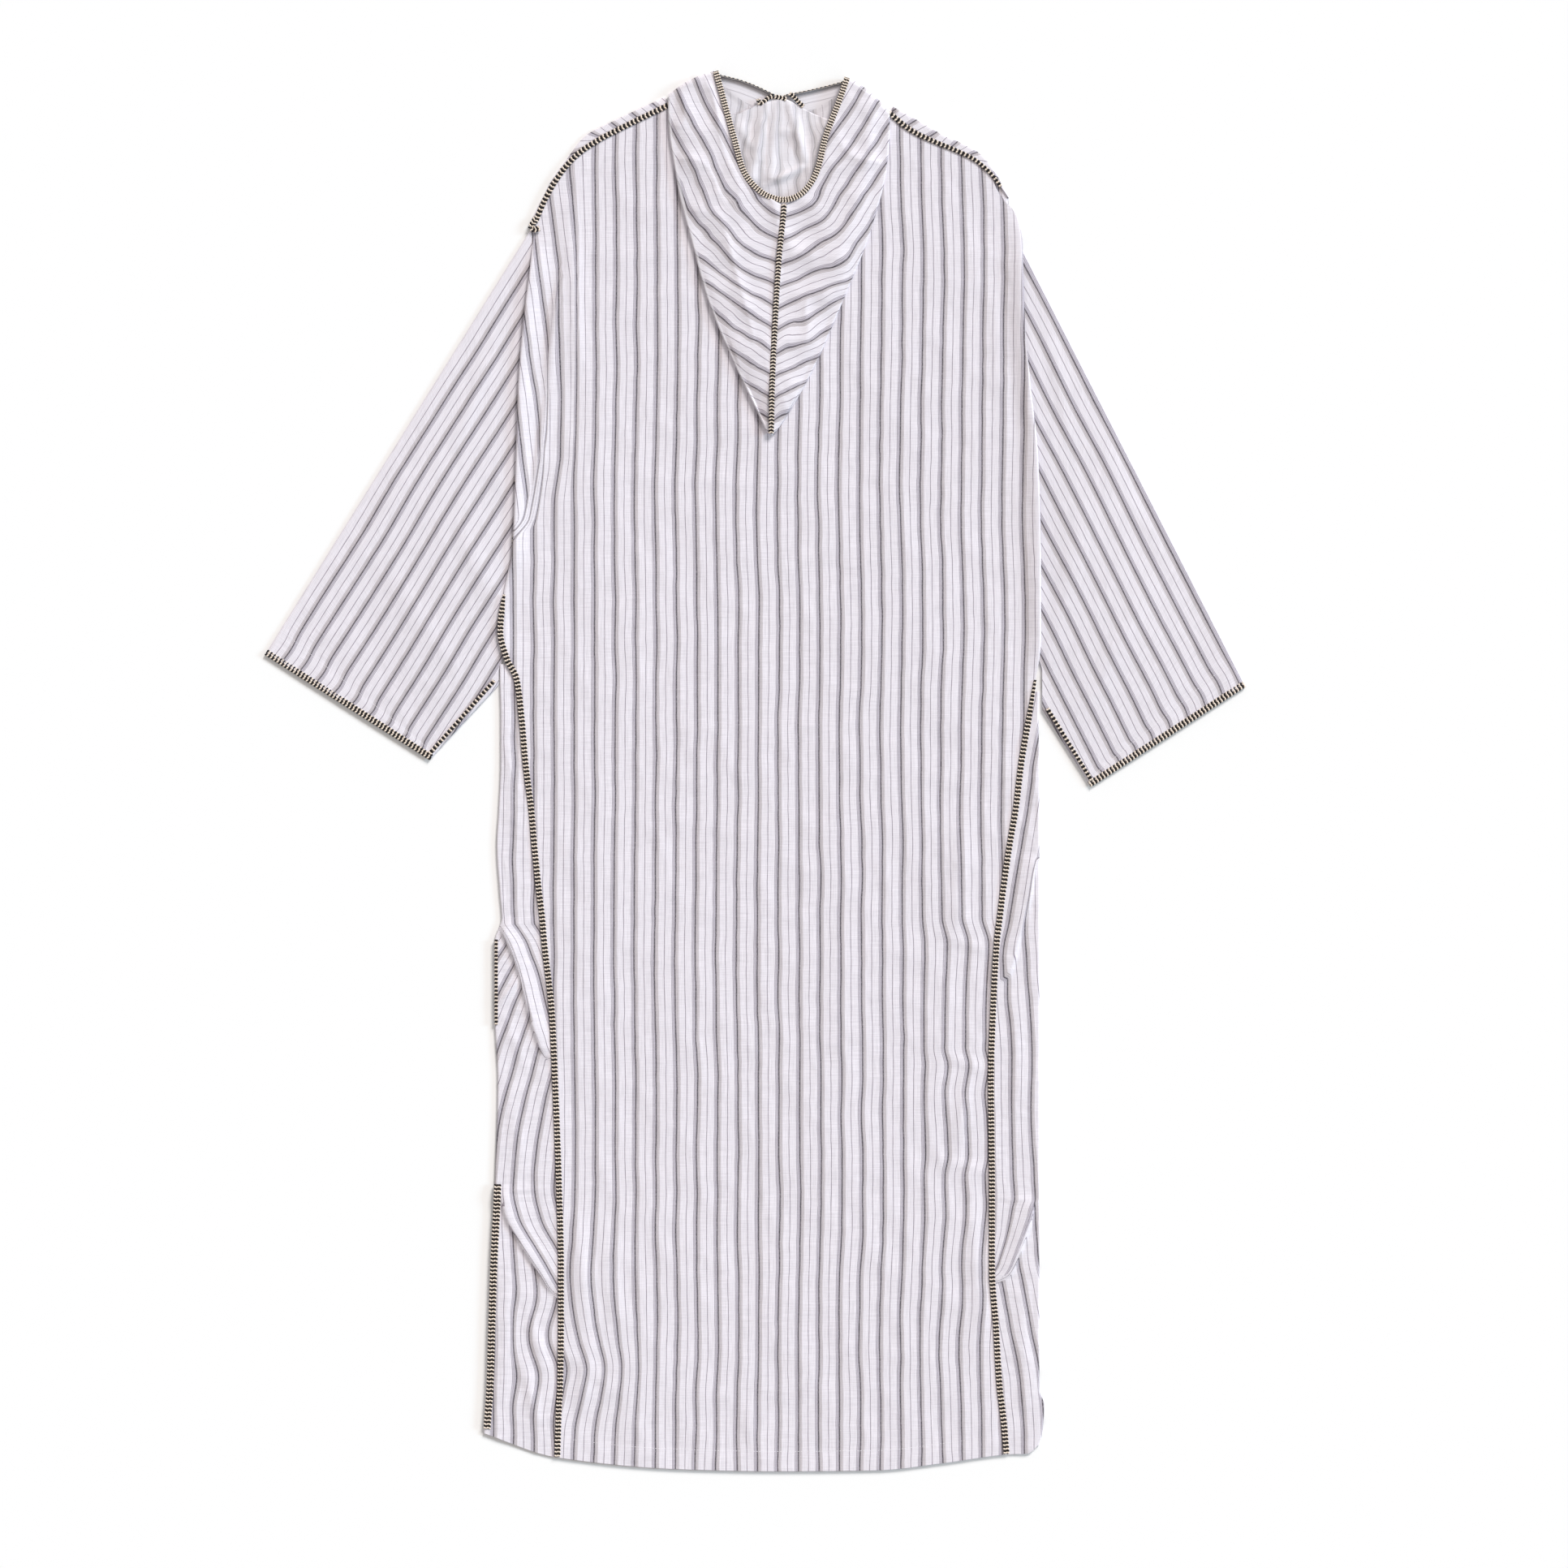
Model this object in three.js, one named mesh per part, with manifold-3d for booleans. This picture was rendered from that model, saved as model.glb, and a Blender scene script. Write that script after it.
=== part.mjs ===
// A hooded pullover robe of striped cotton with braided seams, laid face down: its back is up, and the
// empty hood lies down the back. Millimetres, +X to the right of the laid robe, +Y towards the neck, +Z up.
// The robe rests on z = 0, and its outline is centred on the origin.

import * as THREE from "three";
import Module from "manifold-3d";

const wasm = await Module();
wasm.setup();

// ---- Driving sizes ----

const clothThickness = 1; // cotton with the loft of its creases
const seamGap = 0.3; // between pieces that are sewn to each other
const lowerLevel = clothThickness / 2; // middle of the layers that lie on the ground
const upperLevel = 1.9; // middle of the layers on top of them
const braidWidth = 7.4;
const braidThickness = 1.1;
const braidStand = clothThickness / 2 + seamGap; // from the middle of a layer to the braid on it
const edgeRadius = (upperLevel - lowerLevel) / 2; // of the cloth where a flat fold turns over

// The body's pieces, level by level. outline: where the laid body ends. back: where the back panel ends,
// which is a rolled edge above the underarm and a gore's seam below it.
const bodyLevels = [
  { y: 593, outlineLeft: -222, backLeft: -222, backRight: 240, outlineRight: 247 },
  { y: 578, outlineLeft: -222, backLeft: -222, backRight: 250, outlineRight: 256 },
  { y: 562, outlineLeft: -222, backLeft: -222, backRight: 263, outlineRight: 263 },
  { y: 533, outlineLeft: -224, backLeft: -224, backRight: 269, outlineRight: 269 },
  { y: 451, outlineLeft: -234, backLeft: -234, backRight: 272, outlineRight: 272 },
  { y: 385, outlineLeft: -239, backLeft: -239, backRight: 278, outlineRight: 278 },
  { y: 320, outlineLeft: -241, backLeft: -241, backRight: 285, outlineRight: 285 },
  { y: 221, outlineLeft: -245, backLeft: -245, backRight: 288, outlineRight: 288 },
  { y: 180, outlineLeft: -253, backLeft: -253, backRight: 288, outlineRight: 288 },
  { y: 140, outlineLeft: -258, backLeft: -257, backRight: 288, outlineRight: 289 },
  { y: 112, outlineLeft: -258, backLeft: -250, backRight: 286, outlineRight: 289 },
  { y: 94, outlineLeft: -258, backLeft: -241, backRight: 283, outlineRight: 288 },
  { y: 57, outlineLeft: -257, backLeft: -236, backRight: 277, outlineRight: 286 },
  { y: 10, outlineLeft: -257, backLeft: -232, backRight: 269, outlineRight: 287 },
  { y: -39, outlineLeft: -259, backLeft: -226, backRight: 263, outlineRight: 287 },
  { y: -74, outlineLeft: -261, backLeft: -223, backRight: 257, outlineRight: 287 },
  { y: -123, outlineLeft: -258, backLeft: -218, backRight: 250, outlineRight: 287 },
  { y: -148, outlineLeft: -256, backLeft: -215, backRight: 247, outlineRight: 287 },
  { y: -172, outlineLeft: -263, backLeft: -213, backRight: 244, outlineRight: 287 },
  { y: -246, outlineLeft: -263, backLeft: -205, backRight: 240, outlineRight: 287 },
  { y: -312, outlineLeft: -260, backLeft: -202, backRight: 238, outlineRight: 287 },
  { y: -418, outlineLeft: -263, backLeft: -198, backRight: 239, outlineRight: 287 },
  { y: -500, outlineLeft: -267, backLeft: -196, backRight: 239, outlineRight: 287 },
  { y: -560, outlineLeft: -269, backLeft: -196, backRight: 243, outlineRight: 287 },
  { y: -625, outlineLeft: -271, backLeft: -197, backRight: 247, outlineRight: 287 },
  { y: -640, outlineLeft: -272, backLeft: -198, backRight: 249, outlineRight: 292 },
  { y: -668, outlineLeft: -274, backLeft: -199, backRight: 252, outlineRight: 290 },
  { y: -707, outlineLeft: -275, backLeft: -200, backRight: 255, outlineRight: 276 },
];

// Heights at which the body's pieces have a row of points, so that their seams run side by side.
const sharedLevels = [
  -640, -590, -530, -470, -418, -350, -300, -246, -200, -160, -123, -74, -20, 30, 80, 108,
  140, 180, 221, 270, 320, 385, 451, 500, 533,
];
const shoulderRows = 4; // above them, up to the shoulder seams and the neck

const hemLine = [
  { x: -275, y: -668 },
  { x: -200, y: -693 },
  { x: -74, y: -705 },
  { x: 24, y: -707 },
  { x: 123, y: -706 },
  { x: 188, y: -699 },
  { x: 255, y: -690 },
  { x: 275, y: -689 },
  { x: 284, y: -682 },
  { x: 292, y: -668 },
];

// The shoulders: contour, where the front comes over the fold, and seam, where it meets the back.
const leftShoulder = [
  { contourX: -91, contourY: 681, seamX: -90, seamY: 671 },
  { contourX: -146, contourY: 655, seamX: -135, seamY: 649 },
  { contourX: -172, contourY: 641, seamX: -158, seamY: 637 },
  { contourX: -190, contourY: 618, seamX: -181, seamY: 621 },
  { contourX: -205, contourY: 597, seamX: -198, seamY: 601 },
  { contourX: -218, contourY: 572, seamX: -212, seamY: 577 },
  { contourX: -226, contourY: 556, seamX: -222, seamY: 554 },
];
const rightShoulder = [
  { contourX: 139, contourY: 671, seamX: 138, seamY: 662 },
  { contourX: 168, contourY: 655, seamX: 157, seamY: 647 },
  { contourX: 192, contourY: 641, seamX: 177, seamY: 637 },
  { contourX: 213, contourY: 632, seamX: 199, seamY: 628 },
  { contourX: 230, contourY: 621, seamX: 220, seamY: 618 },
  { contourX: 246, contourY: 598, seamX: 237, seamY: 604 },
  { contourX: 256, contourY: 578, seamX: 248, seamY: 590 },
];

// The neck seam of the hood on the back, which rises in the middle, and on the front.
const backNeckLine = [
  { x: -90, y: 671 },
  { x: -50, y: 654 },
  { x: -13, y: 653 },
  { x: 16, y: 677 },
  { x: 37, y: 675 },
  { x: 60, y: 661 },
  { x: 100, y: 656 },
  { x: 138, y: 662 },
];
const frontNeckLine = [
  { x: -90, y: 670 },
  { x: -58, y: 652 },
  { x: -20, y: 641 },
  { x: 24, y: 637 },
  { x: 68, y: 640 },
  { x: 108, y: 648 },
  { x: 138, y: 661 },
];
const neckSlit = { x: 24, bottom: 500, halfWidth: braidWidth + 2 * seamGap };

// The armhole seams, under the back's rolled edges, from the shoulders to the gores.
const armholeLevels = [
  { y: 556, left: -226, right: 259 },
  { y: 520, left: -224.6, right: 262 },
  { y: 451, left: -227, right: 264 },
  { y: 385, left: -231, right: 270 },
  { y: 320, left: -233, right: 277 },
  { y: 221, left: -237, right: 280 },
  { y: 180, left: -245, right: 280 },
  { y: 140, left: -250, right: 282 },
  { y: 112, left: -252, right: 284 },
];

// Sleeves: the levels of their rows along the armhole, and the two corners of the cuff.
const sleeves = {
  left: {
    rows: [87, 110, 140, 180, 221, 270, 320, 385, 451, 500, 520, 546],
    underarmX: -259,
    cuffTop: { x: -495, y: 115.5 },
    cuffBottom: { x: -327.5, y: 13 },
    outward: -1,
  },
  right: {
    rows: [62, 110, 140, 180, 221, 270, 320, 385, 451, 500, 520, 541],
    underarmX: 289.8,
    cuffTop: { x: 495, y: 83 },
    cuffBottom: { x: 338, y: -14 },
    outward: 1,
  },
};
const sleevePuff = 1.6; // how far the upper layer stands off in the middle

// The back's rolled edge over the armholes.
const rollRise = 4.9;
const rollRadius = 1.6;
const rollReach = 12; // over which the cloth comes down again
const rollTurn = THREE.MathUtils.degToRad(130);
const rollLevels = [
  { y: 562, left: 0, right: 0 },
  { y: 540, left: 0.08, right: 0.4 },
  { y: 500, left: 1, right: 1 },
  { y: 230, left: 1, right: 1 },
  { y: 190, left: 0.42, right: 1 },
  { y: 130, left: 0.42, right: 0.6 },
  { y: 100, left: 0.12, right: 0.12 },
  { y: 80, left: 0, right: 0 },
];

// The largest soft ridges: from one point to another, with their half width and height.
const backRidges = [
  { x0: -187, y0: 572, x1: -178, y1: 410, width: 9, height: 2.4 },
  { x0: -196, y0: 505, x1: -204, y1: 330, width: 7, height: 2.2 },
  { x0: -212, y0: 328, x1: -226, y1: 258, width: 6, height: 2 },
  { x0: -180, y0: -452, x1: -168, y1: -560, width: 8, height: 2.2 },
  { x0: -168, y0: -580, x1: -176, y1: -640, width: 8, height: 2 },
  { x0: 208, y0: -60, x1: 203, y1: -190, width: 9, height: 1.8 },
  { x0: 213, y0: -290, x1: 206, y1: -430, width: 8, height: 2.2 },
  { x0: 222, y0: -445, x1: 228, y1: -560, width: 7, height: 1.8 },
  { x0: -5, y0: -640, x1: -4, y1: -675, width: 6, height: 1.4 },
];
const goreRidges = [
  { x0: -258, y0: -160, x1: -236, y1: -200, width: 6, height: 3 },
  { x0: -236, y0: -200, x1: -216, y1: -284, width: 7, height: 3 },
  { x0: -257, y0: -430, x1: -234, y1: -482, width: 7, height: 3 },
  { x0: -234, y0: -482, x1: -213, y1: -522, width: 7, height: 2.8 },
  { x0: -228, y0: -550, x1: -226, y1: -640, width: 7, height: 2 },
  { x0: 278, y0: -440, x1: 258, y1: -505, width: 6, height: 2.4 },
  { x0: 278, y0: -50, x1: 276, y1: -120, width: 5, height: 1.4 },
];
const hoodRidges = [
  { x0: 118, y0: 672, x1: 112, y1: 600, width: 8, height: 1.6 },
  { x0: 112, y0: 600, x1: 84, y1: 520, width: 8, height: 1.8 },
  { x0: -58, y0: 566, x1: 4, y1: 500, width: 9, height: 1.5 },
  { x0: -38, y0: 496, x1: 12, y1: 450, width: 8, height: 1.2 },
  { x0: 44, y0: 470, x1: 84, y1: 510, width: 8, height: 1.2 },
];

// The gores' seams to the front run straight from the underarms down to the hem.
const goreFrontSeams = {
  topY: 112,
  bottomY: -707,
  left: { topX: -252, bottomX: -262 },
  right: { topX: 284, bottomX: 249 },
};
const goreTop = { left: 108, right: 80 };
const goreFullness = 0.5; // how much fuller than a pressed edge the fold at the side is

// The hood from its tip to the neck. left and right: its folded outer edges. inner: the middle between the
// two halves of the upper layer, which is the crown seam in the lower part. gape: from there to each half's
// edge, where the face opening parts them.
const hoodLevels = [
  { leftX: 12, leftY: 341, innerX: 16.2, innerY: 338, gape: 0, rightX: 21, rightY: 342 },
  { leftX: 0, leftY: 366, innerX: 16.6, innerY: 352, gape: 0, rightX: 38, rightY: 368 },
  { leftX: -22, leftY: 413, innerX: 17.3, innerY: 388, gape: 0, rightX: 60, rightY: 408 },
  { leftX: -48, leftY: 476, innerX: 19.9, innerY: 445, gape: 0, rightX: 91, rightY: 480 },
  { leftX: -66, leftY: 541, innerX: 24.1, innerY: 515, gape: 0, rightX: 114, rightY: 537 },
  { leftX: -77, leftY: 582, innerX: 29.1, innerY: 568, gape: 0, rightX: 128, rightY: 584 },
  { leftX: -80, leftY: 600, innerX: 27.5, innerY: 582, gape: 21.5, rightX: 131, rightY: 597 },
  { leftX: -83, leftY: 618, innerX: 25.5, innerY: 603, gape: 37.5, rightX: 133, rightY: 611 },
  { leftX: -86.5, leftY: 640, innerX: 24.8, innerY: 638, gape: 47, rightX: 135, rightY: 629 },
  { leftX: -88, leftY: 662, innerX: 26, innerY: 672, gape: 58, rightX: 136, rightY: 645 },
  { leftX: -88, leftY: 680, innerX: 26.5, innerY: 699.5, gape: 66.5, rightX: 136, rightY: 662 },
];
const hoodSlant = 3.2; // how much higher the left half's top corner is than the middle
const topBow = 3; // how much the fold at the neck bows upwards
const crownSeamGap = 0.15; // from the crown seam to each half
const hoodNeckStart = 0.72; // share of the way up where the lower layer starts to bend to the neck seam
const hoodLowerLevel = upperLevel + clothThickness + 0.4;
const hoodFoldRadius = 1.2;
const hoodCrown = 1.9; // how much higher the upper layer is inside than at its folds
const hoodCrownReach = 15;
// The front's part of the face opening: how far from the slit its edge ends, how high, its bow, and the
// share of the collar's far side that is the neck seam.
const collar = { fromSlit: 12, slitY: 671, bow: 4, seamShare: 0.75 };

// ---- Ways of making cloth ----

const point = (x, y, z) => new THREE.Vector3(x, y, z);
const mix = THREE.MathUtils.lerp;
const ease = THREE.MathUtils.smoothstep;

// Evenly spaced numbers from 0 to 1, both included.
const shares = (steps) => Array.from({ length: steps + 1 }, (_, i) => i / steps);

// A smooth function through a table: its column "value" against its column "key", level past the ends.
function through(table, key, value) {
  const rows = [...table].sort((a, b) => a[key] - b[key]);
  const at = rows.map((row) => row[key]);
  const level = rows.map((row) => row[value]);
  const secants = at.slice(1).map((a, i) => (level[i + 1] - level[i]) / (a - at[i]));
  const slopes = at.map((_, i) => {
    const before = secants[Math.max(i - 1, 0)];
    const after = secants[Math.min(i, secants.length - 1)];
    return before * after > 0 ? (2 * before * after) / (before + after) : 0;
  });
  return (wanted) => {
    const x = THREE.MathUtils.clamp(wanted, at[0], at[at.length - 1]);
    let i = 0;
    while (i < at.length - 2 && x > at[i + 1]) i++;
    const step = at[i + 1] - at[i];
    const t = (x - at[i]) / step;
    const fromStart = (1 + 2 * t) * (1 - t) ** 2 * level[i] + t * (1 - t) ** 2 * step * slopes[i];
    const fromEnd = t * t * (3 - 2 * t) * level[i + 1] + t * t * (t - 1) * step * slopes[i + 1];
    return fromStart + fromEnd;
  };
}

// The same for a table whose rows are evenly spaced stations along a shape.
const alongShape = (table, value) =>
  through(
    table.map((row, i) => ({ share: i / (table.length - 1), level: row[value] })),
    "share",
    "level",
  );

// The height that a list of ridges adds at a place.
function ridgeHeight(ridges, x, y) {
  let height = 0;
  for (const ridge of ridges) {
    const run = { x: ridge.x1 - ridge.x0, y: ridge.y1 - ridge.y0 };
    const along = ((x - ridge.x0) * run.x + (y - ridge.y0) * run.y) / (run.x ** 2 + run.y ** 2);
    const nearest = THREE.MathUtils.clamp(along, 0, 1);
    const off = Math.hypot(x - ridge.x0 - nearest * run.x, y - ridge.y0 - nearest * run.y);
    height = Math.max(height, ridge.height * Math.exp(-((off / ridge.width) ** 2)));
  }
  return height;
}

// A wall about grids of mid-surface points: the grids are joined where their points meet, then get two
// faces and a rim along each free edge.
function clothWall(grids, thickness = clothThickness) {
  const weldStep = 1e-3;
  const points = [];
  const known = new Map();
  const weld = (p) => {
    const key = [p.x, p.y, p.z].map((value) => Math.round(value / weldStep)).join(" ");
    if (!known.has(key)) {
      known.set(key, points.length);
      points.push(p);
    }
    return known.get(key);
  };
  const faces = [];
  for (const grid of grids) {
    const welded = grid.map((row) => row.map(weld));
    for (let i = 0; i + 1 < welded.length; i++) {
      for (let j = 0; j + 1 < welded[i].length; j++) {
        const [a, b] = [welded[i][j], welded[i][j + 1]];
        const [c, d] = [welded[i + 1][j + 1], welded[i + 1][j]];
        faces.push([a, b, c], [a, c, d]);
      }
    }
  }
  const whole = faces.filter(([a, b, c]) => a !== b && b !== c && c !== a);

  const normals = points.map(() => point(0, 0, 0));
  for (const face of whole) {
    const corners = face.map((index) => points[index]);
    const triangle = new THREE.Triangle(...corners);
    const normal = triangle.getNormal(point(0, 0, 0));
    face.forEach((index, k) => {
      const toNext = corners[(k + 1) % 3].clone().sub(corners[k]);
      const toLast = corners[(k + 2) % 3].clone().sub(corners[k]);
      normals[index].addScaledVector(normal, toNext.angleTo(toLast));
    });
  }
  const outer = points.map((p, i) => p.clone().addScaledVector(normals[i].normalize(), thickness / 2));
  const inner = points.map((p, i) => p.clone().addScaledVector(normals[i], -thickness / 2));

  const count = points.length;
  const edges = new Set(whole.flatMap(([a, b, c]) => [`${a} ${b}`, `${b} ${c}`, `${c} ${a}`]));
  const indices = [];
  for (const [a, b, c] of whole) {
    indices.push(a, b, c, c + count, b + count, a + count);
    for (const [from, to] of [[a, b], [b, c], [c, a]]) {
      if (!edges.has(`${to} ${from}`)) {
        indices.push(to, from, from + count, to, from + count, to + count);
      }
    }
  }
  const geometry = new THREE.BufferGeometry().setFromPoints([...outer, ...inner]);
  geometry.setIndex(indices);
  return geometry;
}

// A flat braid along a path of points on its underside; it lies level across.
function braid(path, width = braidWidth, thickness = braidThickness) {
  const vertices = [];
  path.forEach((p, i) => {
    const before = path[Math.max(i - 1, 0)];
    const after = path[Math.min(i + 1, path.length - 1)];
    const side = point(before.y - after.y, after.x - before.x, 0).setLength(width / 2);
    const top = point(0, 0, thickness);
    const low = [p.clone().sub(side), p.clone().add(side)];
    vertices.push(...low, low[1].clone().add(top), low[0].clone().add(top));
  });
  const indices = [];
  for (let i = 0; i + 1 < path.length; i++) {
    for (let k = 0; k < 4; k++) {
      const [a, b] = [4 * i + k, 4 * i + ((k + 1) % 4)];
      indices.push(a, b, b + 4, a, b + 4, a + 4);
    }
  }
  const last = 4 * (path.length - 1);
  indices.push(0, 2, 1, 0, 3, 2, last, last + 1, last + 2, last, last + 2, last + 3);
  const geometry = new THREE.BufferGeometry().setFromPoints(vertices);
  geometry.setIndex(indices);
  return geometry;
}

// A solid for a boolean cut, and a geometry back from it.
function solidOf(geometry) {
  return new wasm.Manifold(
    new wasm.Mesh({
      numProp: 3,
      vertProperties: new Float32Array(geometry.getAttribute("position").array),
      triVerts: new Uint32Array(geometry.getIndex().array),
    }),
  );
}
function geometryOf(solid) {
  const mesh = solid.getMesh();
  const geometry = new THREE.BufferGeometry();
  geometry.setAttribute("position", new THREE.BufferAttribute(mesh.vertProperties, 3));
  geometry.setIndex(new THREE.BufferAttribute(mesh.triVerts, 1));
  return geometry;
}

// ---- The body ----

const backLeft = through(bodyLevels, "y", "backLeft");
const backRight = through(bodyLevels, "y", "backRight");
const outlineLeft = through(bodyLevels, "y", "outlineLeft");
const outlineRight = through(bodyLevels, "y", "outlineRight");
const hem = through(hemLine, "x", "y");
const backNeck = through(backNeckLine, "x", "y");
const frontNeck = through(frontNeckLine, "x", "y");
const armholeLeft = through(armholeLevels, "y", "left");
const armholeRight = through(armholeLevels, "y", "right");
const rollLeft = through(rollLevels, "y", "left");
const rollRight = through(rollLevels, "y", "right");
const shoulderSeamLeft = through(leftShoulder, "seamX", "seamY");
const shoulderSeamRight = through(rightShoulder, "seamX", "seamY");

const downSeam = (y) => (y - goreFrontSeams.topY) / (goreFrontSeams.bottomY - goreFrontSeams.topY);
const goreFrontLeft = (y) => mix(goreFrontSeams.left.topX, goreFrontSeams.left.bottomX, downSeam(y));
const goreFrontRight = (y) => mix(goreFrontSeams.right.topX, goreFrontSeams.right.bottomX, downSeam(y));

const neckLeftX = leftShoulder[0].seamX;
const neckRightX = rightShoulder[0].seamX;

// Where the back panel ends at the top, at the shoulder seams and the neck.
function backTop(x) {
  if (x < neckLeftX) return shoulderSeamLeft(x);
  if (x > neckRightX) return shoulderSeamRight(x);
  return backNeck(x);
}

// The middle of the back's cloth over a place: level, rising to the rolled edges, with soft ridges.
function backHeight(x, y) {
  const fromLeft = Math.exp(-(((x - backLeft(y)) / rollReach) ** 2));
  const fromRight = Math.exp(-(((x - backRight(y)) / rollReach) ** 2));
  const rise = rollRise * (rollLeft(y) * fromLeft + rollRight(y) * fromRight);
  return upperLevel + Math.max(rise, ridgeHeight(backRidges, x, y));
}

// Columns are closer together near both edges, where the cloth rolls and folds.
const crowding = 0.1;
const crowd = (share) => share - crowding * Math.sin(2 * Math.PI * share);

function makeBackPanel() {
  const columns = shares(16).map(crowd);
  const lipSteps = 3;
  const leastRoll = 0.04; // so that the lip's points never fall on each other
  const topLevel = sharedLevels[sharedLevels.length - 1];
  // The ends of a row of the panel, clear of the rolled edges.
  const placeAt = (column, y) => mix(backLeft(y) + rollRadius, backRight(y) - rollRadius, column);
  const hemRow = columns.map((column) => {
    let y = -700;
    for (let pass = 0; pass < 6; pass++) y = hem(placeAt(column, y));
    return { x: placeAt(column, y), y };
  });
  const levelRows = sharedLevels.map((y) => columns.map((column) => ({ x: placeAt(column, y), y })));
  const topRows = shares(shoulderRows)
    .slice(1)
    .map((share) =>
      columns.map((column) => {
        let y = topLevel;
        for (let pass = 0; pass < 12; pass++) {
          y = mix(topLevel, backTop(placeAt(column, y)) - 6 * seamGap, share);
        }
        return { x: placeAt(column, y), y };
      }),
    );
  // The rolled edge turns down round a centre below the last point of the row.
  const lip = (end, outward, roll) =>
    shares(lipSteps)
      .slice(1)
      .map((share) => {
        const turn = share * rollTurn * Math.max(roll, leastRoll);
        const run = share * rollRadius * (1 - roll) + rollRadius * Math.sin(turn);
        return point(end.x + outward * run, end.y, end.z - rollRadius * (1 - Math.cos(turn)));
      });
  const grid = [hemRow, ...levelRows, ...topRows].map((row) => {
    const places = row.map(({ x, y }) => point(x, y, backHeight(x, y)));
    const [first, last] = [places[0], places[places.length - 1]];
    return [
      ...lip(first, -1, rollLeft(first.y)).reverse(),
      ...places,
      ...lip(last, 1, rollRight(last.y)),
    ];
  });
  return clothWall([grid]);
}

// The front lies on the ground. Its shoulder edges turn over a fold and end at the seams on the back.
function makeFrontPanel() {
  const shoulderSteps = 7;
  const neckSteps = 7;
  const inFromContour = edgeRadius + clothThickness / 2;
  const station = (table, seam, share) => {
    const seamX = alongShape(table, "seamX")(share);
    const contour = new THREE.Vector2(
      alongShape(table, "contourX")(share),
      alongShape(table, "contourY")(share),
    );
    const inward = new THREE.Vector2(seamX, seam(seamX)).sub(contour);
    return { contour, reach: inward.length(), inward: inward.normalize() };
  };
  const leftStations = shares(shoulderSteps).map((share) =>
    station(leftShoulder, shoulderSeamLeft, 1 - share),
  );
  const rightStations = shares(shoulderSteps).map((share) =>
    station(rightShoulder, shoulderSeamRight, share),
  );
  // A place on a station's line, so far in from the contour.
  const onStation = ({ contour, inward }, distance, z) =>
    point(contour.x + inward.x * distance, contour.y + inward.y * distance, z);

  const neckPoints = shares(neckSteps).map((share) => {
    const x = mix(neckLeftX, neckRightX, share);
    return point(x, frontNeck(x) - seamGap, lowerLevel);
  });
  const topRow = [
    ...leftStations.map((at) => onStation(at, inFromContour, lowerLevel)),
    ...neckPoints,
    ...rightStations.map((at) => onStation(at, inFromContour, lowerLevel)),
  ];
  const frontLeft = (y) => (y > goreTop.left ? armholeLeft(y) : goreFrontLeft(y)) + seamGap;
  const frontRight = (y) => {
    if (y > goreTop.right + 10) return armholeRight(y) - seamGap;
    return goreFrontRight(y) - braidWidth - 2 * seamGap;
  };
  const across = (y, column) => mix(frontLeft(y), frontRight(y), column);
  const columns = shares(topRow.length - 1);
  const hemRow = columns.map((column) => {
    const x = across(hem(across(-690, column)), column);
    return point(x, hem(x) + 1, lowerLevel);
  });
  const levels = [-640, -300, -20, 62, 87, 110, 140, 180, 221, 270, 320, 385, 451, 500, 520];
  const levelRows = levels.map((y) => columns.map((column) => point(across(y, column), y, lowerLevel)));
  const flat = [hemRow, ...levelRows, topRow];

  const overShoulder = (stations) => {
    const turned = [0, 60, 120, 180].map((degrees) => {
      const turn = THREE.MathUtils.degToRad(degrees);
      const z = lowerLevel + edgeRadius * (1 - Math.cos(turn));
      return stations.map((at) => onStation(at, inFromContour - edgeRadius * Math.sin(turn), z));
    });
    const seamRow = stations.map((at) =>
      onStation(at, Math.max(at.reach - 7 * seamGap, inFromContour + 0.6), upperLevel),
    );
    return [...turned, seamRow];
  };
  const whole = clothWall([flat, overShoulder(leftStations), overShoulder(rightStations)]);
  const slitLength = 200;
  const slit = new THREE.BoxGeometry(2 * neckSlit.halfWidth, slitLength, 4 * clothThickness);
  slit.translate(neckSlit.x, neckSlit.bottom + slitLength / 2, 0);
  return geometryOf(solidOf(whole).subtract(solidOf(weldedBox(slit))));
}

// A box with its corners shared, so that it is one closed surface.
function weldedBox(box) {
  const position = box.getAttribute("position");
  const index = box.getIndex();
  const corners = [];
  const indices = [];
  for (let i = 0; i < index.count; i++) {
    const corner = point(0, 0, 0).fromBufferAttribute(position, index.getX(i));
    let found = corners.findIndex((known) => known.distanceTo(corner) < 1e-6);
    if (found < 0) found = corners.push(corner) - 1;
    indices.push(found);
  }
  const geometry = new THREE.BufferGeometry().setFromPoints(corners);
  geometry.setIndex(indices);
  return geometry;
}

// The middle of a gore's upper layer over a place: fuller at the side's fold, with soft ridges.
function goreHeight(side, x, y) {
  const [outline, back] = side === "left" ? [outlineLeft(y), backLeft(y)] : [outlineRight(y), backRight(y)];
  const share = THREE.MathUtils.clamp((x - outline) / (back - outline), 0, 1);
  const fall = goreFullness * (1 - ease(share, 0.1, 0.75));
  return upperLevel + fall + ease(share, 0, 0.3) * ridgeHeight(goreRidges, x, y);
}

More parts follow.
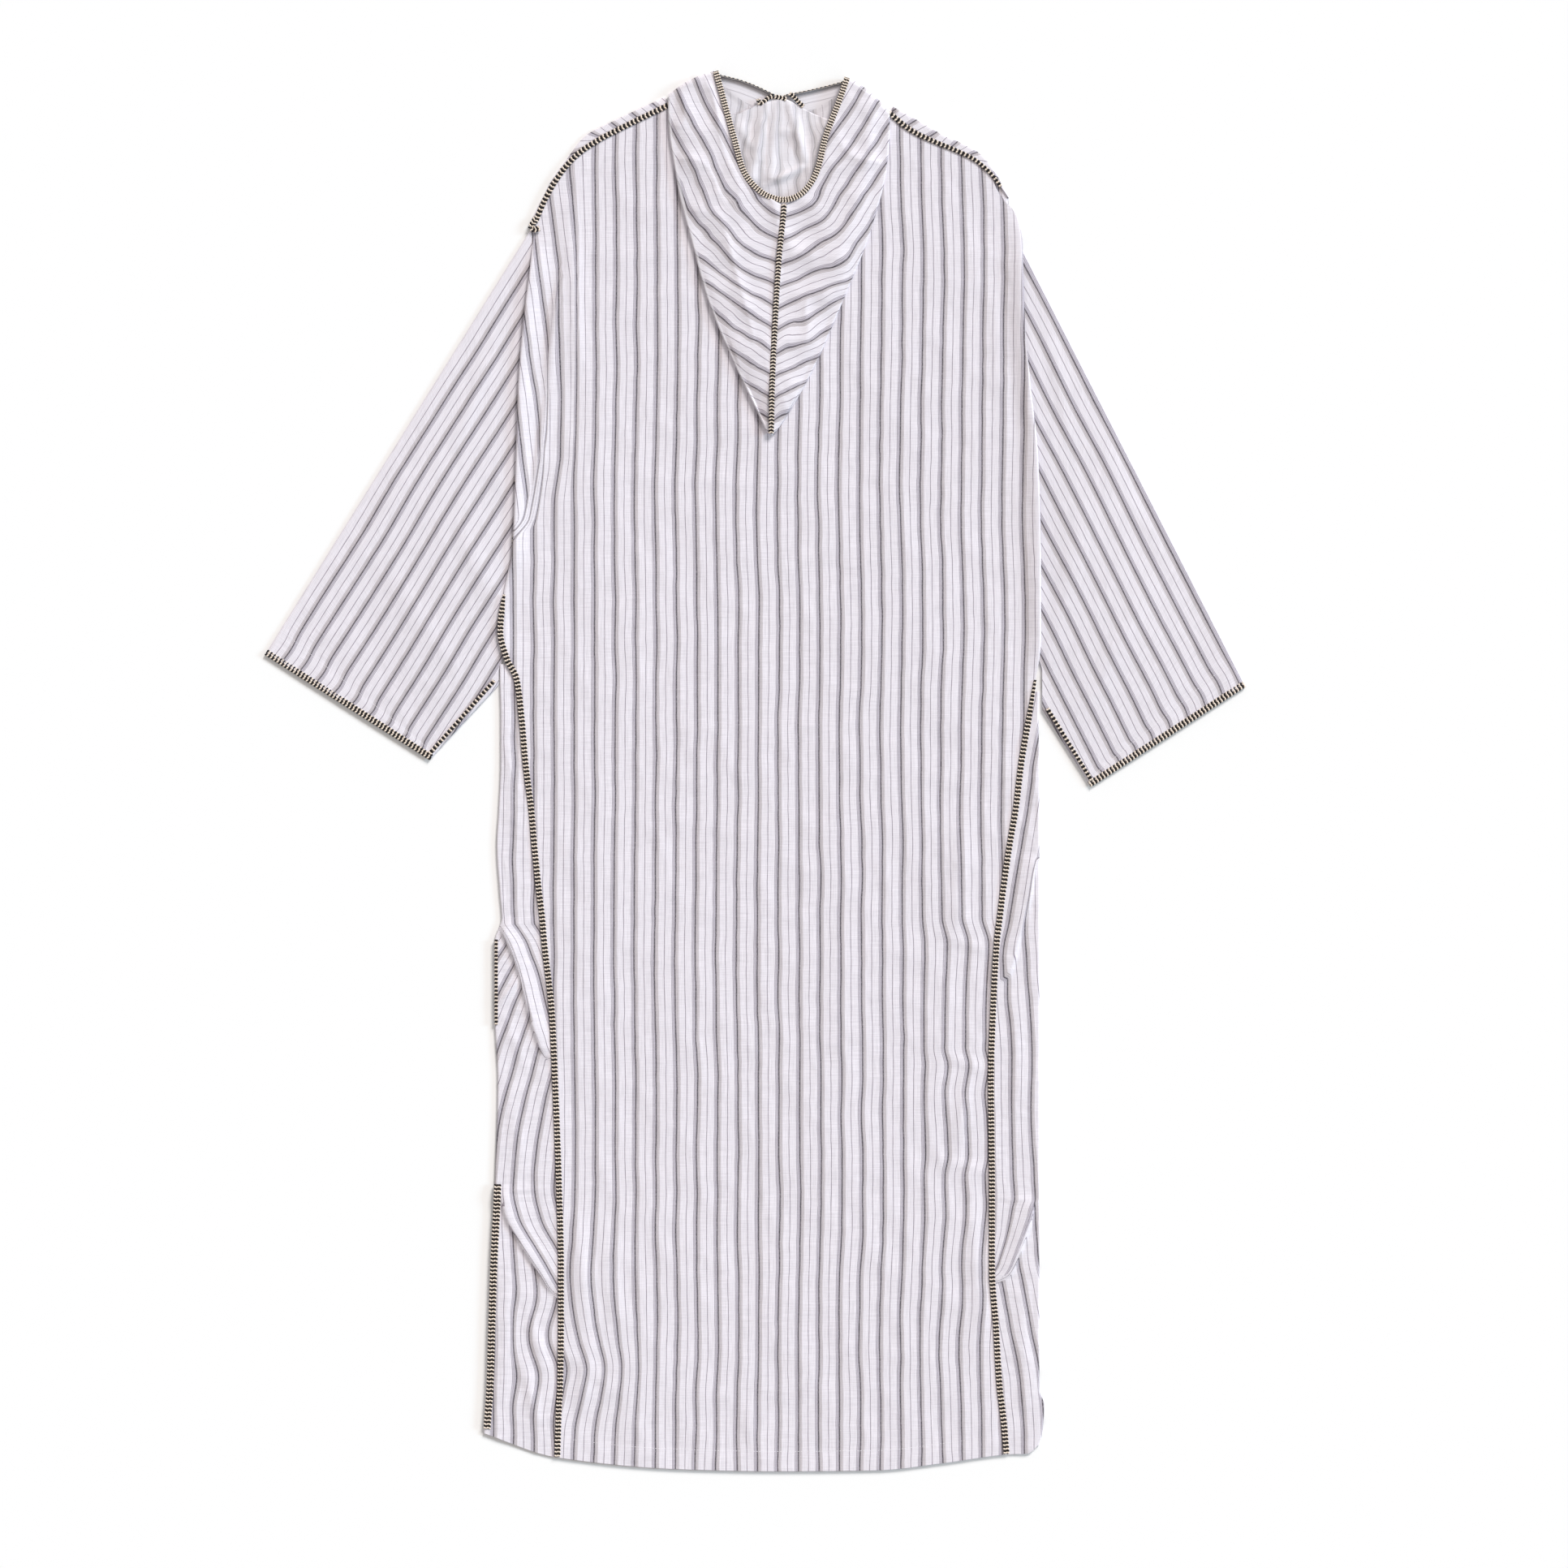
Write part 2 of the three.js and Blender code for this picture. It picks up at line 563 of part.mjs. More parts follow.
// A gore from its seam on the front, round the fold at the body's side, to its seam on the back.
function makeGore(side) {
  const left = side === "left";
  const outward = left ? -1 : 1;
  const outline = left ? outlineLeft : outlineRight;
  const back = left ? backLeft : backRight;
  const front = left ? goreFrontLeft : goreFrontRight;
  const radius = edgeRadius + goreFullness / 2;
  const frontSteps = left ? 2 : 3;
  const levels = [null, ...sharedLevels.filter((y) => y <= goreTop[side])]; // null is the hem
  // A place between the fold at the side (1) and a seam (0), on the level or on the hem.
  const placeAt = (level, share, seamX) => {
    let y = level ?? -690;
    for (let pass = 0; level === null && pass < 6; pass++) {
      y = hem(mix(seamX(y), outline(y) - outward * (radius + clothThickness / 2), share));
    }
    return { x: mix(seamX(y), outline(y) - outward * (radius + clothThickness / 2), share), y };
  };
  const backSeam = (y) => back(y) + outward * 2 * seamGap;
  const grid = levels.map((level) => {
    const frontPart = shares(frontSteps).map((share) => {
      const at = placeAt(level, share, front);
      return point(at.x, at.y, lowerLevel);
    });
    const corner = placeAt(level, 1, backSeam);
    const turned = [45, 90, 135].map((degrees) => {
      const turn = THREE.MathUtils.degToRad(degrees);
      const z = lowerLevel + radius * (1 - Math.cos(turn));
      return point(corner.x + outward * radius * Math.sin(turn), corner.y, z);
    });
    const backPart = shares(7).map((share) => {
      const at = placeAt(level, 1 - share, backSeam);
      return point(at.x, at.y, share === 0 ? upperLevel + goreFullness : goreHeight(side, at.x, at.y));
    });
    const around = [...frontPart, ...turned, ...backPart];
    return left ? around : around.reverse();
  });
  return clothWall([grid]);
}

// ---- The sleeves ----

// Places on a sleeve: along from the armhole (0) to the cuff (1), and up from the underarm seam (0) to
// the folded top edge (1).
function sleevePlace(side, along, up) {
  const { rows, underarmX, outward, cuffTop, cuffBottom } = sleeves[side];
  const y = mix(rows[0], rows[rows.length - 1], up);
  const seamX = (side === "left" ? armholeLeft(y) : armholeRight(y)) + outward * seamGap;
  const start = { x: y < goreTop.left + 4 ? underarmX : seamX, y };
  const end = { x: mix(cuffBottom.x, cuffTop.x, up), y: mix(cuffBottom.y, cuffTop.y, up) };
  return { x: mix(start.x, end.x, along), y: mix(start.y, end.y, along) };
}

function sleeveHeight(along, up) {
  const acrossPuff = Math.sin(Math.PI * Math.min(up * 1.02, 1));
  const alongPuff = Math.sin(Math.PI * ease(along, 0, 1) * 0.94);
  return upperLevel + sleevePuff * acrossPuff * alongPuff;
}

// One row round a sleeve: lower layer, fold at the top edge, upper layer.
function sleeveRing(side, along) {
  const { outward, rows } = sleeves[side];
  const ups = rows.map((y) => (y - rows[0]) / (rows[rows.length - 1] - rows[0]));
  const lower = ups.map((up) => {
    const place = sleevePlace(side, along, up);
    return point(place.x, place.y, lowerLevel);
  });
  const edge = lower[lower.length - 1];
  const topRun = sleevePlace(side, 1, 1);
  const topStart = sleevePlace(side, 0, 1);
  const out = new THREE.Vector2(topStart.y - topRun.y, topRun.x - topStart.x).multiplyScalar(outward);
  out.setLength(edgeRadius);
  const turned = [60, 120].map((degrees) => {
    const turn = THREE.MathUtils.degToRad(degrees);
    const z = lowerLevel + edgeRadius * (1 - Math.cos(turn));
    return point(edge.x + out.x * Math.sin(turn), edge.y + out.y * Math.sin(turn), z);
  });
  const upper = [...ups].reverse().map((up) => {
    const place = sleevePlace(side, along, up);
    return point(place.x, place.y, sleeveHeight(along, up));
  });
  const ring = [...lower, ...turned, ...upper];
  return outward > 0 ? ring.reverse() : ring;
}

// The share of the way along at which the cloth ends and the cuff's braid starts.
function cuffShare(side) {
  const start = sleevePlace(side, 0, 0.5);
  const end = sleevePlace(side, 1, 0.5);
  return 1 - (braidWidth + seamGap) / Math.hypot(end.x - start.x, end.y - start.y);
}

function makeSleeve(side) {
  const end = cuffShare(side);
  return clothWall([shares(9).map((share) => sleeveRing(side, share * end))]);
}

// The cuff's braid goes round both layers and closes on itself at the underarm seam.
function makeCuffBraid(side) {
  const start = cuffShare(side) + (1 - cuffShare(side)) * (seamGap / braidWidth);
  const rings = shares(1).map((share) => {
    const ring = sleeveRing(side, mix(start, 1, share));
    return [...ring, ring[0]];
  });
  return clothWall([rings]);
}

function makeUnderseamBraid(side) {
  const width = 5;
  const start = side === "left" ? 0.06 : 0.1;
  const path = shares(8).map((share) => {
    const along = mix(start, cuffShare(side) - 0.01, share);
    const place = sleevePlace(side, along, 0.02);
    return point(place.x, place.y, sleeveHeight(along, 0.02) + braidStand);
  });
  return braid(path, width);
}

// ---- The hood ----

const hoodShape = Object.fromEntries(
  Object.keys(hoodLevels[0]).map((column) => [column, alongShape(hoodLevels, column)]),
);

// The upper layer's middle: higher inside than at the folds, with soft ridges.
function hoodHeight(x, y, fromFold) {
  const edge = hoodLowerLevel + 2 * hoodFoldRadius;
  const crown = hoodCrown * (1 - Math.exp(-((fromFold / hoodCrownReach) ** 2)));
  const soft = 1 - Math.exp(-((fromFold / (hoodCrownReach / 2)) ** 2));
  return edge + Math.max(crown, soft * ridgeHeight(hoodRidges, x, y));
}

// One side of a row on the upper layer, from its fold to the crown seam or the face opening.
function hoodUpperRow(row, side, steps) {
  const foldX = hoodShape[`${side}X`](row);
  const foldY = hoodShape[`${side}Y`](row);
  const inward = side === "left" ? 1 : -1;
  const start = foldX + inward * (hoodFoldRadius + clothThickness / 2);
  const endX = hoodShape.innerX(row) - inward * Math.max(hoodShape.gape(row), crownSeamGap);
  const endY = hoodShape.innerY(row) + inward * hoodSlant * ease(row, 0.8, 1);
  const bow = topBow * ease(row, 0.9, 1);
  return shares(steps).map((share) => {
    const x = mix(start, endX, share);
    const y = mix(foldY, endY, share) + bow * Math.sin(Math.PI * share);
    return point(x, y, hoodHeight(x, y, Math.hypot(x - foldX, y - foldY)));
  });
}

// The lower layer of a row, from fold to fold; its top row follows the neck seam.
function hoodLowerRow(row, steps) {
  const [leftX, rightX] = [hoodShape.leftX(row), hoodShape.rightX(row)];
  const [leftY, rightY] = [hoodShape.leftY(row), hoodShape.rightY(row)];
  const inset = hoodFoldRadius + clothThickness / 2;
  const neckPull = ease(row, hoodNeckStart, 1);
  return shares(steps).map((share) => {
    const x = mix(leftX + inset, rightX - inset, share);
    const level = mix(leftY, rightY, share);
    const bend = Math.sin(Math.PI * share) ** 0.5;
    const y = mix(level, Math.min(backNeck(x), level + 40), neckPull * bend);
    return point(x, y, hoodLowerLevel);
  });
}

function makeHood() {
  const upperSteps = 7;
  const lowerSteps = 9;
  const rows = shares(22);
  const fold = (from, outward) =>
    [135, 90, 45].map((degrees) => {
      const turn = THREE.MathUtils.degToRad(degrees);
      const z = hoodLowerLevel + hoodFoldRadius * (1 - Math.cos(turn));
      return point(from.x + outward * hoodFoldRadius * Math.sin(turn), from.y, z);
    });
  const bag = rows.map((row) => {
    const left = hoodUpperRow(row, "left", upperSteps);
    const right = hoodUpperRow(row, "right", upperSteps);
    const lower = hoodLowerRow(row, lowerSteps);
    const leftFold = fold(left[0], -1);
    const rightFold = fold(right[0], 1).reverse();
    return [...left.reverse(), ...leftFold, ...lower, ...rightFold, ...right].reverse();
  });

  // The collar: past the top row, the upper layer turns over the fold and lies on the ground in front.
  const turnOver = (side) => {
    const topRow = hoodUpperRow(1, side, upperSteps);
    const across = side === "left" ? 1 : -1;
    const neckX = neckSlit.x - across * (neckSlit.halfWidth + seamGap);
    const runX = topRow[upperSteps].x - topRow[0].x;
    const runY = topRow[upperSteps].y - topRow[0].y;
    const out = new THREE.Vector2(-across * runY, across * runX).normalize();
    const turned = [45, 90, 135, 180].map((degrees) =>
      topRow.map((p) => {
        const radius = (p.z - lowerLevel) / 2;
        const turn = THREE.MathUtils.degToRad(degrees);
        const z = p.z - radius * (1 - Math.cos(turn));
        const reach = radius * Math.sin(turn);
        return point(p.x + out.x * reach, p.y + out.y * reach, z);
      }),
    );
    // The far side of the collar is the neck seam, then the edge beside the slit.
    const corner = collarEdge(side, 1);
    const farSide = topRow.map((p, i) => {
      const share = i / upperSteps;
      const x = mix(topRow[0].x + across, neckX, Math.min(share / collar.seamShare, 1));
      const upSlit = ease(share, collar.seamShare, 1);
      return { x: mix(x, corner.x, upSlit), y: mix(frontNeck(x) + 3 * seamGap, corner.y, upSlit) };
    });
    const onGround = turned[turned.length - 1];
    const flat = shares(4)
      .slice(1)
      .map((share) => {
        const edge = collarEdge(side, share);
        const straight = {
          x: mix(onGround[upperSteps].x, corner.x, share),
          y: mix(onGround[upperSteps].y, corner.y, share),
        };
        return onGround.map((p, i) => {
          const follow = (i / upperSteps) ** 2;
          const x = mix(p.x, farSide[i].x, share) + follow * (edge.x - straight.x);
          const y = mix(p.y, farSide[i].y, share) + follow * (edge.y - straight.y);
          return point(x, y, lowerLevel);
        });
      });
    const grid = [topRow, ...turned, ...flat];
    return side === "left" ? grid : grid.map((row) => [...row].reverse());
  };
  return clothWall([bag, turnOver("left"), turnOver("right")]);
}

// A place on the collar's edge, from the hood's upper fold (0) to the corner beside the neck slit (1).
function collarEdge(side, share) {
  const [start] = hoodUpperRow(1, side, 1).slice(-1);
  const across = side === "left" ? 1 : -1;
  const end = { x: neckSlit.x - across * collar.fromSlit, y: collar.slitY };
  return {
    x: mix(start.x, end.x, share),
    y: mix(start.y, end.y, share) + collar.bow * Math.sin(Math.PI * share),
  };
}

const openingStart = 5 / (hoodLevels.length - 1); // the row at the lower end of the face opening

// The face opening's braid lies over the cloth's edge, and a little outside it.
function makeMouthBraid() {
  const outside = 1.2;
  const rows = shares(10).map((share) => mix(0.995, openingStart + 0.01, share));
  const arm = (side, across) =>
    rows.map((row) => {
      const [end] = hoodUpperRow(row, side, 1).slice(-1);
      const [next] = hoodUpperRow(row - 0.005, side, 1).slice(-1);
      const run = new THREE.Vector2(next.x - end.x, next.y - end.y).normalize();
      return point(end.x - across * run.y * outside, end.y + across * run.x * outside, end.z + braidStand);
    });
  const [bottom] = hoodUpperRow(openingStart, "left", 1).slice(-1);
  const vertex = point(bottom.x, bottom.y + 2 * outside, bottom.z + braidStand);
  return braid([...arm("left", 1).slice(0, -1), vertex, ...arm("right", -1).reverse().slice(1)]);
}

function makeCrownBraid() {
  const seamEnd = openingStart - 0.02;
  const path = shares(14).map((share) => {
    const row = mix(0.02, seamEnd, share);
    const [end] = hoodUpperRow(row, "left", 1).slice(-1);
    return point(end.x, end.y, end.z + braidStand);
  });
  return braid(path);
}

// From the hood's upper fold along the collar's edge, then down beside the neck slit.
function makeNeckBraid(side) {
  const across = side === "left" ? 1 : -1;
  const slitX = neckSlit.x - across * (braidWidth / 2 + seamGap / 2);
  const off = braidWidth / 2 + 2 * seamGap;
  const edge = shares(5).map((share) => {
    const at = mix(0.12, 0.99, share);
    const here = collarEdge(side, at);
    const next = collarEdge(side, at + 0.01);
    const run = new THREE.Vector2(next.x - here.x, next.y - here.y).setLength(off);
    return point(here.x - across * run.y, here.y + across * run.x, 0);
  });
  const last = edge[edge.length - 1];
  const turn = point(mix(last.x, slitX, 0.75), last.y - braidWidth / 2, 0);
  const slitTop = last.y - 1.5 * braidWidth;
  const down = shares(4).map((share) => point(slitX, mix(slitTop, neckSlit.bottom + 1, share), 0));
  return braid([...edge, turn, ...down], braidWidth, clothThickness);
}

// ---- Braids on the body ----

function makeShoulderBraid(table, start) {
  const path = shares(14).map((share) => {
    const at = mix(start, 1, share);
    const [x, y] = [alongShape(table, "seamX")(at), alongShape(table, "seamY")(at)];
    return point(x, y, upperLevel + braidStand);
  });
  return braid(path);
}

// The level of a braid that lies over a place on the body, on the highest cloth under its width.
function braidLevel(side, x, y, height) {
  const places = [-1.2, -0.6, 0, 0.6, 1.2].map((share) => x + share * braidWidth);
  return Math.max(...places.map((place) => height(side, place, y))) + braidStand;
}
const highestCloth = (side, x, y) => {
  const onBack = side === "left" ? x > backLeft(y) : x < backRight(y);
  return onBack || y > goreTop[side] ? backHeight(x, y) : goreHeight(side, x, y);
};

function makeGoreBackBraid(side) {
  const left = side === "left";
  const back = left ? backLeft : backRight;
  const top = left ? 178 : 84;
  const path = shares(26).map((share) => {
    const y = mix(hem(back(-700)) + 1, top, share);
    return point(back(y), y, braidLevel(side, back(y), y, highestCloth));
  });
  return braid(path);
}

// On the left the front's seam shows along the fold; on the right it is on the ground.
function makeGoreFrontBraid(side) {
  if (side === "left") {
    const path = shares(22).map((share) => {
      const y = mix(-664, -168, share);
      const x = outlineLeft(y) + braidWidth / 2 + edgeRadius;
      return point(x, y, braidLevel(side, x, y, goreHeight));
    });
    return braid(path);
  }
  const path = shares(3).map((share) => {
    const y = mix(-680, goreTop.right + 4, share);
    return point(goreFrontRight(y) - braidWidth / 2 - seamGap, y, 0);
  });
  return braid(path, braidWidth, clothThickness);
}

function makeArmholeBraid(side) {
  const left = side === "left";
  const thickness = 0.9;
  const width = 6;
  const path = shares(14).map((share) => {
    const y = mix(206, 470, share);
    const x = left ? backLeft(y) + 2.2 : backRight(y) - 2.2;
    return point(x, y, upperLevel + clothThickness / 2 + seamGap);
  });
  return braid(path, width, thickness);
}

// ---- The whole robe ----

const robe = new THREE.Group();
const cotton = { color: 0xefedf2, roughness: 0.92, metalness: 0 };
const herringbone = { color: 0x8d8577, roughness: 0.85, metalness: 0 };

function addPiece(name, geometry, finish) {
  geometry.computeVertexNormals();
  const mesh = new THREE.Mesh(geometry, new THREE.MeshStandardMaterial(finish));
  mesh.name = name;
  robe.add(mesh);
}

addPiece("front_panel", makeFrontPanel(), cotton);
addPiece("back_panel", makeBackPanel(), cotton);
addPiece("hood", makeHood(), cotton);
addPiece("braid_mouth", makeMouthBraid(), herringbone);
addPiece("braid_crown", makeCrownBraid(), herringbone);
addPiece("braid_shoulder_left", makeShoulderBraid(leftShoulder, 0.02), herringbone);
addPiece("braid_shoulder_right", makeShoulderBraid(rightShoulder, 0.02), herringbone);
for (const side of ["left", "right"]) {
  addPiece(`gore_${side}`, makeGore(side), cotton);
  addPiece(`sleeve_${side}`, makeSleeve(side), cotton);
  addPiece(`braid_cuff_${side}`, makeCuffBraid(side), herringbone);
  addPiece(`braid_underseam_${side}`, makeUnderseamBraid(side), herringbone);
  addPiece(`braid_gore_back_${side}`, makeGoreBackBraid(side), herringbone);
  addPiece(`braid_gore_front_${side}`, makeGoreFrontBraid(side), herringbone);
  addPiece(`braid_armhole_${side}`, makeArmholeBraid(side), herringbone);
}
addPiece("braid_neck_left", makeNeckBraid("left"), herringbone);
addPiece("braid_neck_right", makeNeckBraid("right"), herringbone);

export default robe;
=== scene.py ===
import math
import bmesh
import bpy
import numpy as np
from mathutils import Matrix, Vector


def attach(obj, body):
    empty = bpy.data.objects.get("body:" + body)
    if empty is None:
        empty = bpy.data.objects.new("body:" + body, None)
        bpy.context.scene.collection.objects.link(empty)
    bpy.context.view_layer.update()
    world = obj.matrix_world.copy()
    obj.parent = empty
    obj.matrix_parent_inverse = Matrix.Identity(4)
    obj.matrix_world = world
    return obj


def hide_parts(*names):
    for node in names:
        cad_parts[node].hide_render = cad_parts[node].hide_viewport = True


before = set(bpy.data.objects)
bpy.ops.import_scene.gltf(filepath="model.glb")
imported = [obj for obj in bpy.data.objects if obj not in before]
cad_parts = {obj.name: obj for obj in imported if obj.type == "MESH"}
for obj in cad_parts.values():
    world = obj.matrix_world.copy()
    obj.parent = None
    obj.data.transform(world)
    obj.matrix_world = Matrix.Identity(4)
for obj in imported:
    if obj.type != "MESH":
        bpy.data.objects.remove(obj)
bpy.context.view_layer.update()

print("frame loaded:", len(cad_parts), "nodes")

# A hooded pullover robe, laid face down. Lengths are in millimetres until a mesh is made, +Y towards the
# neck, +Z up. Its cloth coordinates, across and along the stripes, are each piece's UV map, in metres.

fabric = {
    "wall": 0.8,
    "lowerLevel": 0.5,      # middle of the layer that lies on the ground
    "upperLevel": 1.9,      # middle of the layer on top of it
    "edgeRadius": 0.7,      # of a flat fold
    "stripeRepeat": 20.6,
}
millimetre = 0.001
outwards = {"left": -1, "right": 1}


# Rows of values under the same names; a row may leave out its last ones.
def table(names, *rows):
    return [dict(zip(names.split(), row)) for row in rows]


# A smooth line through a table's points: a cubic between each two rows, level past the ends, whose slope
# at a row is the harmonic mean of the two slopes beside it, or 0 where the line turns.
def smoothLine(rows, key, value):
    rows = sorted(rows, key=lambda row: row[key])
    at = np.array([row[key] for row in rows], float)
    level = np.array([row[value] for row in rows], float)
    secant = np.diff(level) / np.diff(at)
    before, after = np.r_[secant[:1], secant], np.r_[secant, secant[-1:]]
    rising = before * after > 0
    slope = np.where(rising, 2 * before * after / np.where(rising, before + after, 1), 0)

    def line(wanted):
        x = np.clip(wanted, at[0], at[-1])
        i = np.clip(np.searchsorted(at, x, side="right") - 1, 0, len(at) - 2)
        step = at[i + 1] - at[i]
        t = (x - at[i]) / step
        fromStart = (1 + 2 * t) * (1 - t) ** 2 * level[i] + t * (1 - t) ** 2 * step * slope[i]
        fromEnd = t * t * (3 - 2 * t) * level[i + 1] + t * t * (t - 1) * step * slope[i + 1]
        return fromStart + fromEnd

    return line


# The second column of a table, read at values of the first.
def readTable(rows, at):
    return smoothLine(rows, *rows[0])(at)


# The same for a table whose rows are evenly spaced stations along a shape, from 0 to 1.
def alongShape(rows, value):
    last = len(rows) - 1
    return smoothLine([{"share": i / last, "level": row[value]} for i, row in enumerate(rows)], "share", "level")


# The value a share of the way from a to b.
def mix(a, b, share):
    return a + (b - a) * share


# 0 below low, 1 above high, with level ends between.
def ease(value, low, high):
    t = np.clip((value - low) / (high - low), 0, 1)
    return t * t * (3 - 2 * t)


# 1 at no offset, falling with the square of the offset in widths.
def bell(offset, width):
    return np.exp(-(offset / width) ** 2)


# 0 at both ends of a run of shares from 0 to 1, and 1 past the given distances from them.
def within(share, fromStart, fromEnd):
    return ease(share, 0, fromStart) * ease(1 - share, 0, fromEnd)


# Evenly spaced shares from 0 to 1 with one more close to each end, so a smooth surface ends crisply.
def crispShares(count):
    share = np.linspace(0, 1, count)
    near = 0.05 * share[1]
    return np.r_[0, near, share[1:-1], 1 - near, 1]


# Numbers and arrays as the coordinates of places.
def together(*parts):
    return np.stack(np.broadcast_arrays(*parts), -1).astype(float)


# Directions, each divided by its length.
def unit(run):
    return run / np.linalg.norm(run, axis=-1, keepdims=True)


# Places round a fold: out from x, y by the radius times the turn's sine, and up, or down, by its cosine.
def roundFold(x, y, z, out, radius, turn, rise=1):
    reach = radius * np.sin(turn)
    return together(x + out[0] * reach, y + out[1] * reach, z + rise * radius * (1 - np.cos(turn)))


# How far along a path each of its places is.
def travelled(path):
    return np.r_[0, np.cumsum(np.linalg.norm(np.diff(path, axis=0), axis=1))]


# Each column of values, read between its rows at the wanted places.
def readBetween(wanted, at, values):
    return np.stack([np.interp(wanted, at, column) for column in values.T], -1)


# A path whose inner places each move to the mean of their neighbours and twice themselves, some times.
def soften(path, times):
    for turn in range(times):
        path[1:-1] = (path[:-2] + 2 * path[1:-1] + path[2:]) / 4
    return path


# Places between four curved edges: x is a share of the way between the side edges at y, and y between the
# lower and upper edges at x, taken in turn until they settle.
def settle(across, up, startY, rounds, left, right, low, high):
    y = mix(*startY, up) + 0 * across
    for turn in range(rounds):
        x = mix(left(y), right(y), across)
        y = (y + mix(low(x), high(x), up)) / 2
    return x, y


# For a ridge: how far along it a place is, the signed distance to its left, and its direction across.
def besideRidge(row, x, y):
    runX, runY = row["x1"] - row["x0"], row["y1"] - row["y0"]
    length = math.hypot(runX, runY)
    nearest = np.clip(((x - row["x0"]) * runX + (y - row["y0"]) * runY) / length ** 2, 0, 1)
    offX, offY = x - row["x0"] - nearest * runX, y - row["y0"] - nearest * runY
    side = np.sign((runX * offY - runY * offX) + 1e-9)
    return nearest, side * np.hypot(offX, offY), (-runY / length, runX / length)


# Soft folds over a place: the height of each falls with the squared distance from its line, faster on
# its steep side, and its top is pushed sideways by its lean, so that a large lean makes it lie over.
def softFolds(rows, x, y):
    height = np.zeros(np.broadcast(x, y).shape)
    pushX, pushY = np.zeros_like(height), np.zeros_like(height)
    for row in rows:
        along, away, across = besideRidge(row, x, y)
        steep, lean = row.get("steep", 0), row.get("lean", 0)
        width = row["width"] * np.where(away * steep > 0, 1 - abs(steep), 1)
        near = bell(away, width) * (0.45 + 0.55 * np.sin(np.pi * along))
        higher = row["height"] * near > height
        height = np.where(higher, row["height"] * near, height)
        pushX = np.where(higher, lean * near * across[0], pushX)
        pushY = np.where(higher, lean * near * across[1], pushY)
    return height, pushX, pushY


# Smooth random heights from -1 to 1: seeded values on a square lattice, eased between its points.
def unevenness(x, y, cell, seed):
    size = 61
    lattice = np.random.default_rng(seed).uniform(-1, 1, (size, size))
    gridX, gridY = x / cell + 500.3, y / cell + 500.7
    cellX, cellY = np.floor(gridX).astype(int), np.floor(gridY).astype(int)
    partX, partY = ease(gridX - cellX, 0, 1), ease(gridY - cellY, 0, 1)
    low = mix(lattice[cellX % size, cellY % size], lattice[(cellX + 1) % size, cellY % size], partX)
    high = mix(lattice[cellX % size, (cellY + 1) % size], lattice[(cellX + 1) % size, (cellY + 1) % size], partX)
    return mix(low, high, partY)


# Unevenness of several sizes added up: each row has its height, the size of its cells and its seed.
def wanderOf(rows, x, y):
    return sum(row["by"] * unevenness(x, y, row["cell"], row["seed"]) for row in rows)


# The slight unevenness of laid cotton: broad swells, soft creases where the noise turns, small crumples.
def crumple(x, y, seed, amount=1.0, crease=0.5):
    broad = 0.45 * unevenness(x, y * 0.45, 52, seed)
    soft = crease * (0.5 - np.abs(unevenness(x + 0.3 * y, y * 0.7, 31, seed + 1)) ** 0.7)
    middle = 0.2 * unevenness(x, y * 0.7, 15, seed + 2)
    small = 0.05 * unevenness(x, y, 6, seed + 3)
    return amount * (broad + soft + middle + small)


# Parts put one after another: each has its points, its faces and what goes with them.
def joinParts(parts):
    points, faces, more = zip(*parts)
    first = np.cumsum([0] + [len(part) for part in points])
    faces = [part + start for part, start in zip(faces, first)]
    return [np.concatenate(group) for group in (points, faces, more)]


# A mesh object in the scene, from points in millimetres, faces and materials.
def newPiece(name, points, faces, materials):
    mesh = bpy.data.meshes.new(name)
    mesh.from_pydata((points * millimetre).tolist(), [], faces.tolist())
    for material in materials:
        mesh.materials.append(material)
    piece = bpy.data.objects.new(name, mesh)
    bpy.context.scene.collection.objects.link(piece)
    return piece


# Changes a mesh by a function that works on its editable form.
def editMesh(mesh, edit):
    work = bmesh.new()
    work.from_mesh(mesh)
    edit(work)
    work.to_mesh(mesh)
    work.free()


# Quads between neighbours in a grid of point numbers, facing up where columns run right and rows run up.
def gridQuads(index):
    corners = [index[:-1, :-1], index[:-1, 1:], index[1:, 1:], index[1:, :-1]]
    return np.stack(corners, -1).reshape(-1, 4)


# A cloth piece from grids of places and their cloth coordinates: grids are joined where places meet,
# and the wall is laid about them.
def clothPiece(name, grids):
    parts = []
    for places, cloth in grids:
        index = np.arange(places[..., 0].size).reshape(places.shape[:2])
        parts.append((places.reshape(-1, 3), gridQuads(index), cloth.reshape(-1, 2)))
    points, quads, cloths = joinParts(parts)
    piece = newPiece(name, points, quads, [cotton])
    layer = piece.data.uv_layers.new(name="cloth")
    layer.data.foreach_set("uv", (cloths[quads.reshape(-1)] * millimetre).ravel())
    piece.data.polygons.foreach_set("use_smooth", np.ones(len(quads), bool))
    if len(grids) > 1:
        editMesh(piece.data, lambda work: bmesh.ops.remove_doubles(work, verts=work.verts, dist=0.00001))
    thick = piece.modifiers.new("wall", "SOLIDIFY")
    thick.thickness = fabric["wall"] * millimetre
    thick.offset = 0
    return piece


# A cloth piece rides the one body, and the solid that it stands for is hidden.
def declareCloth(piece, node, withPieces=()):
    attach(piece, "root")
    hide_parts(node)


# A node with its settings, then its inputs by name or number, each a value or a socket to link.
def addNode(tree, kind, inputs=None, **settings):
    node = tree.nodes.new(kind)
    for key, value in settings.items():
        setattr(node, key, value)
    feed(tree, node, inputs or {})
    return node


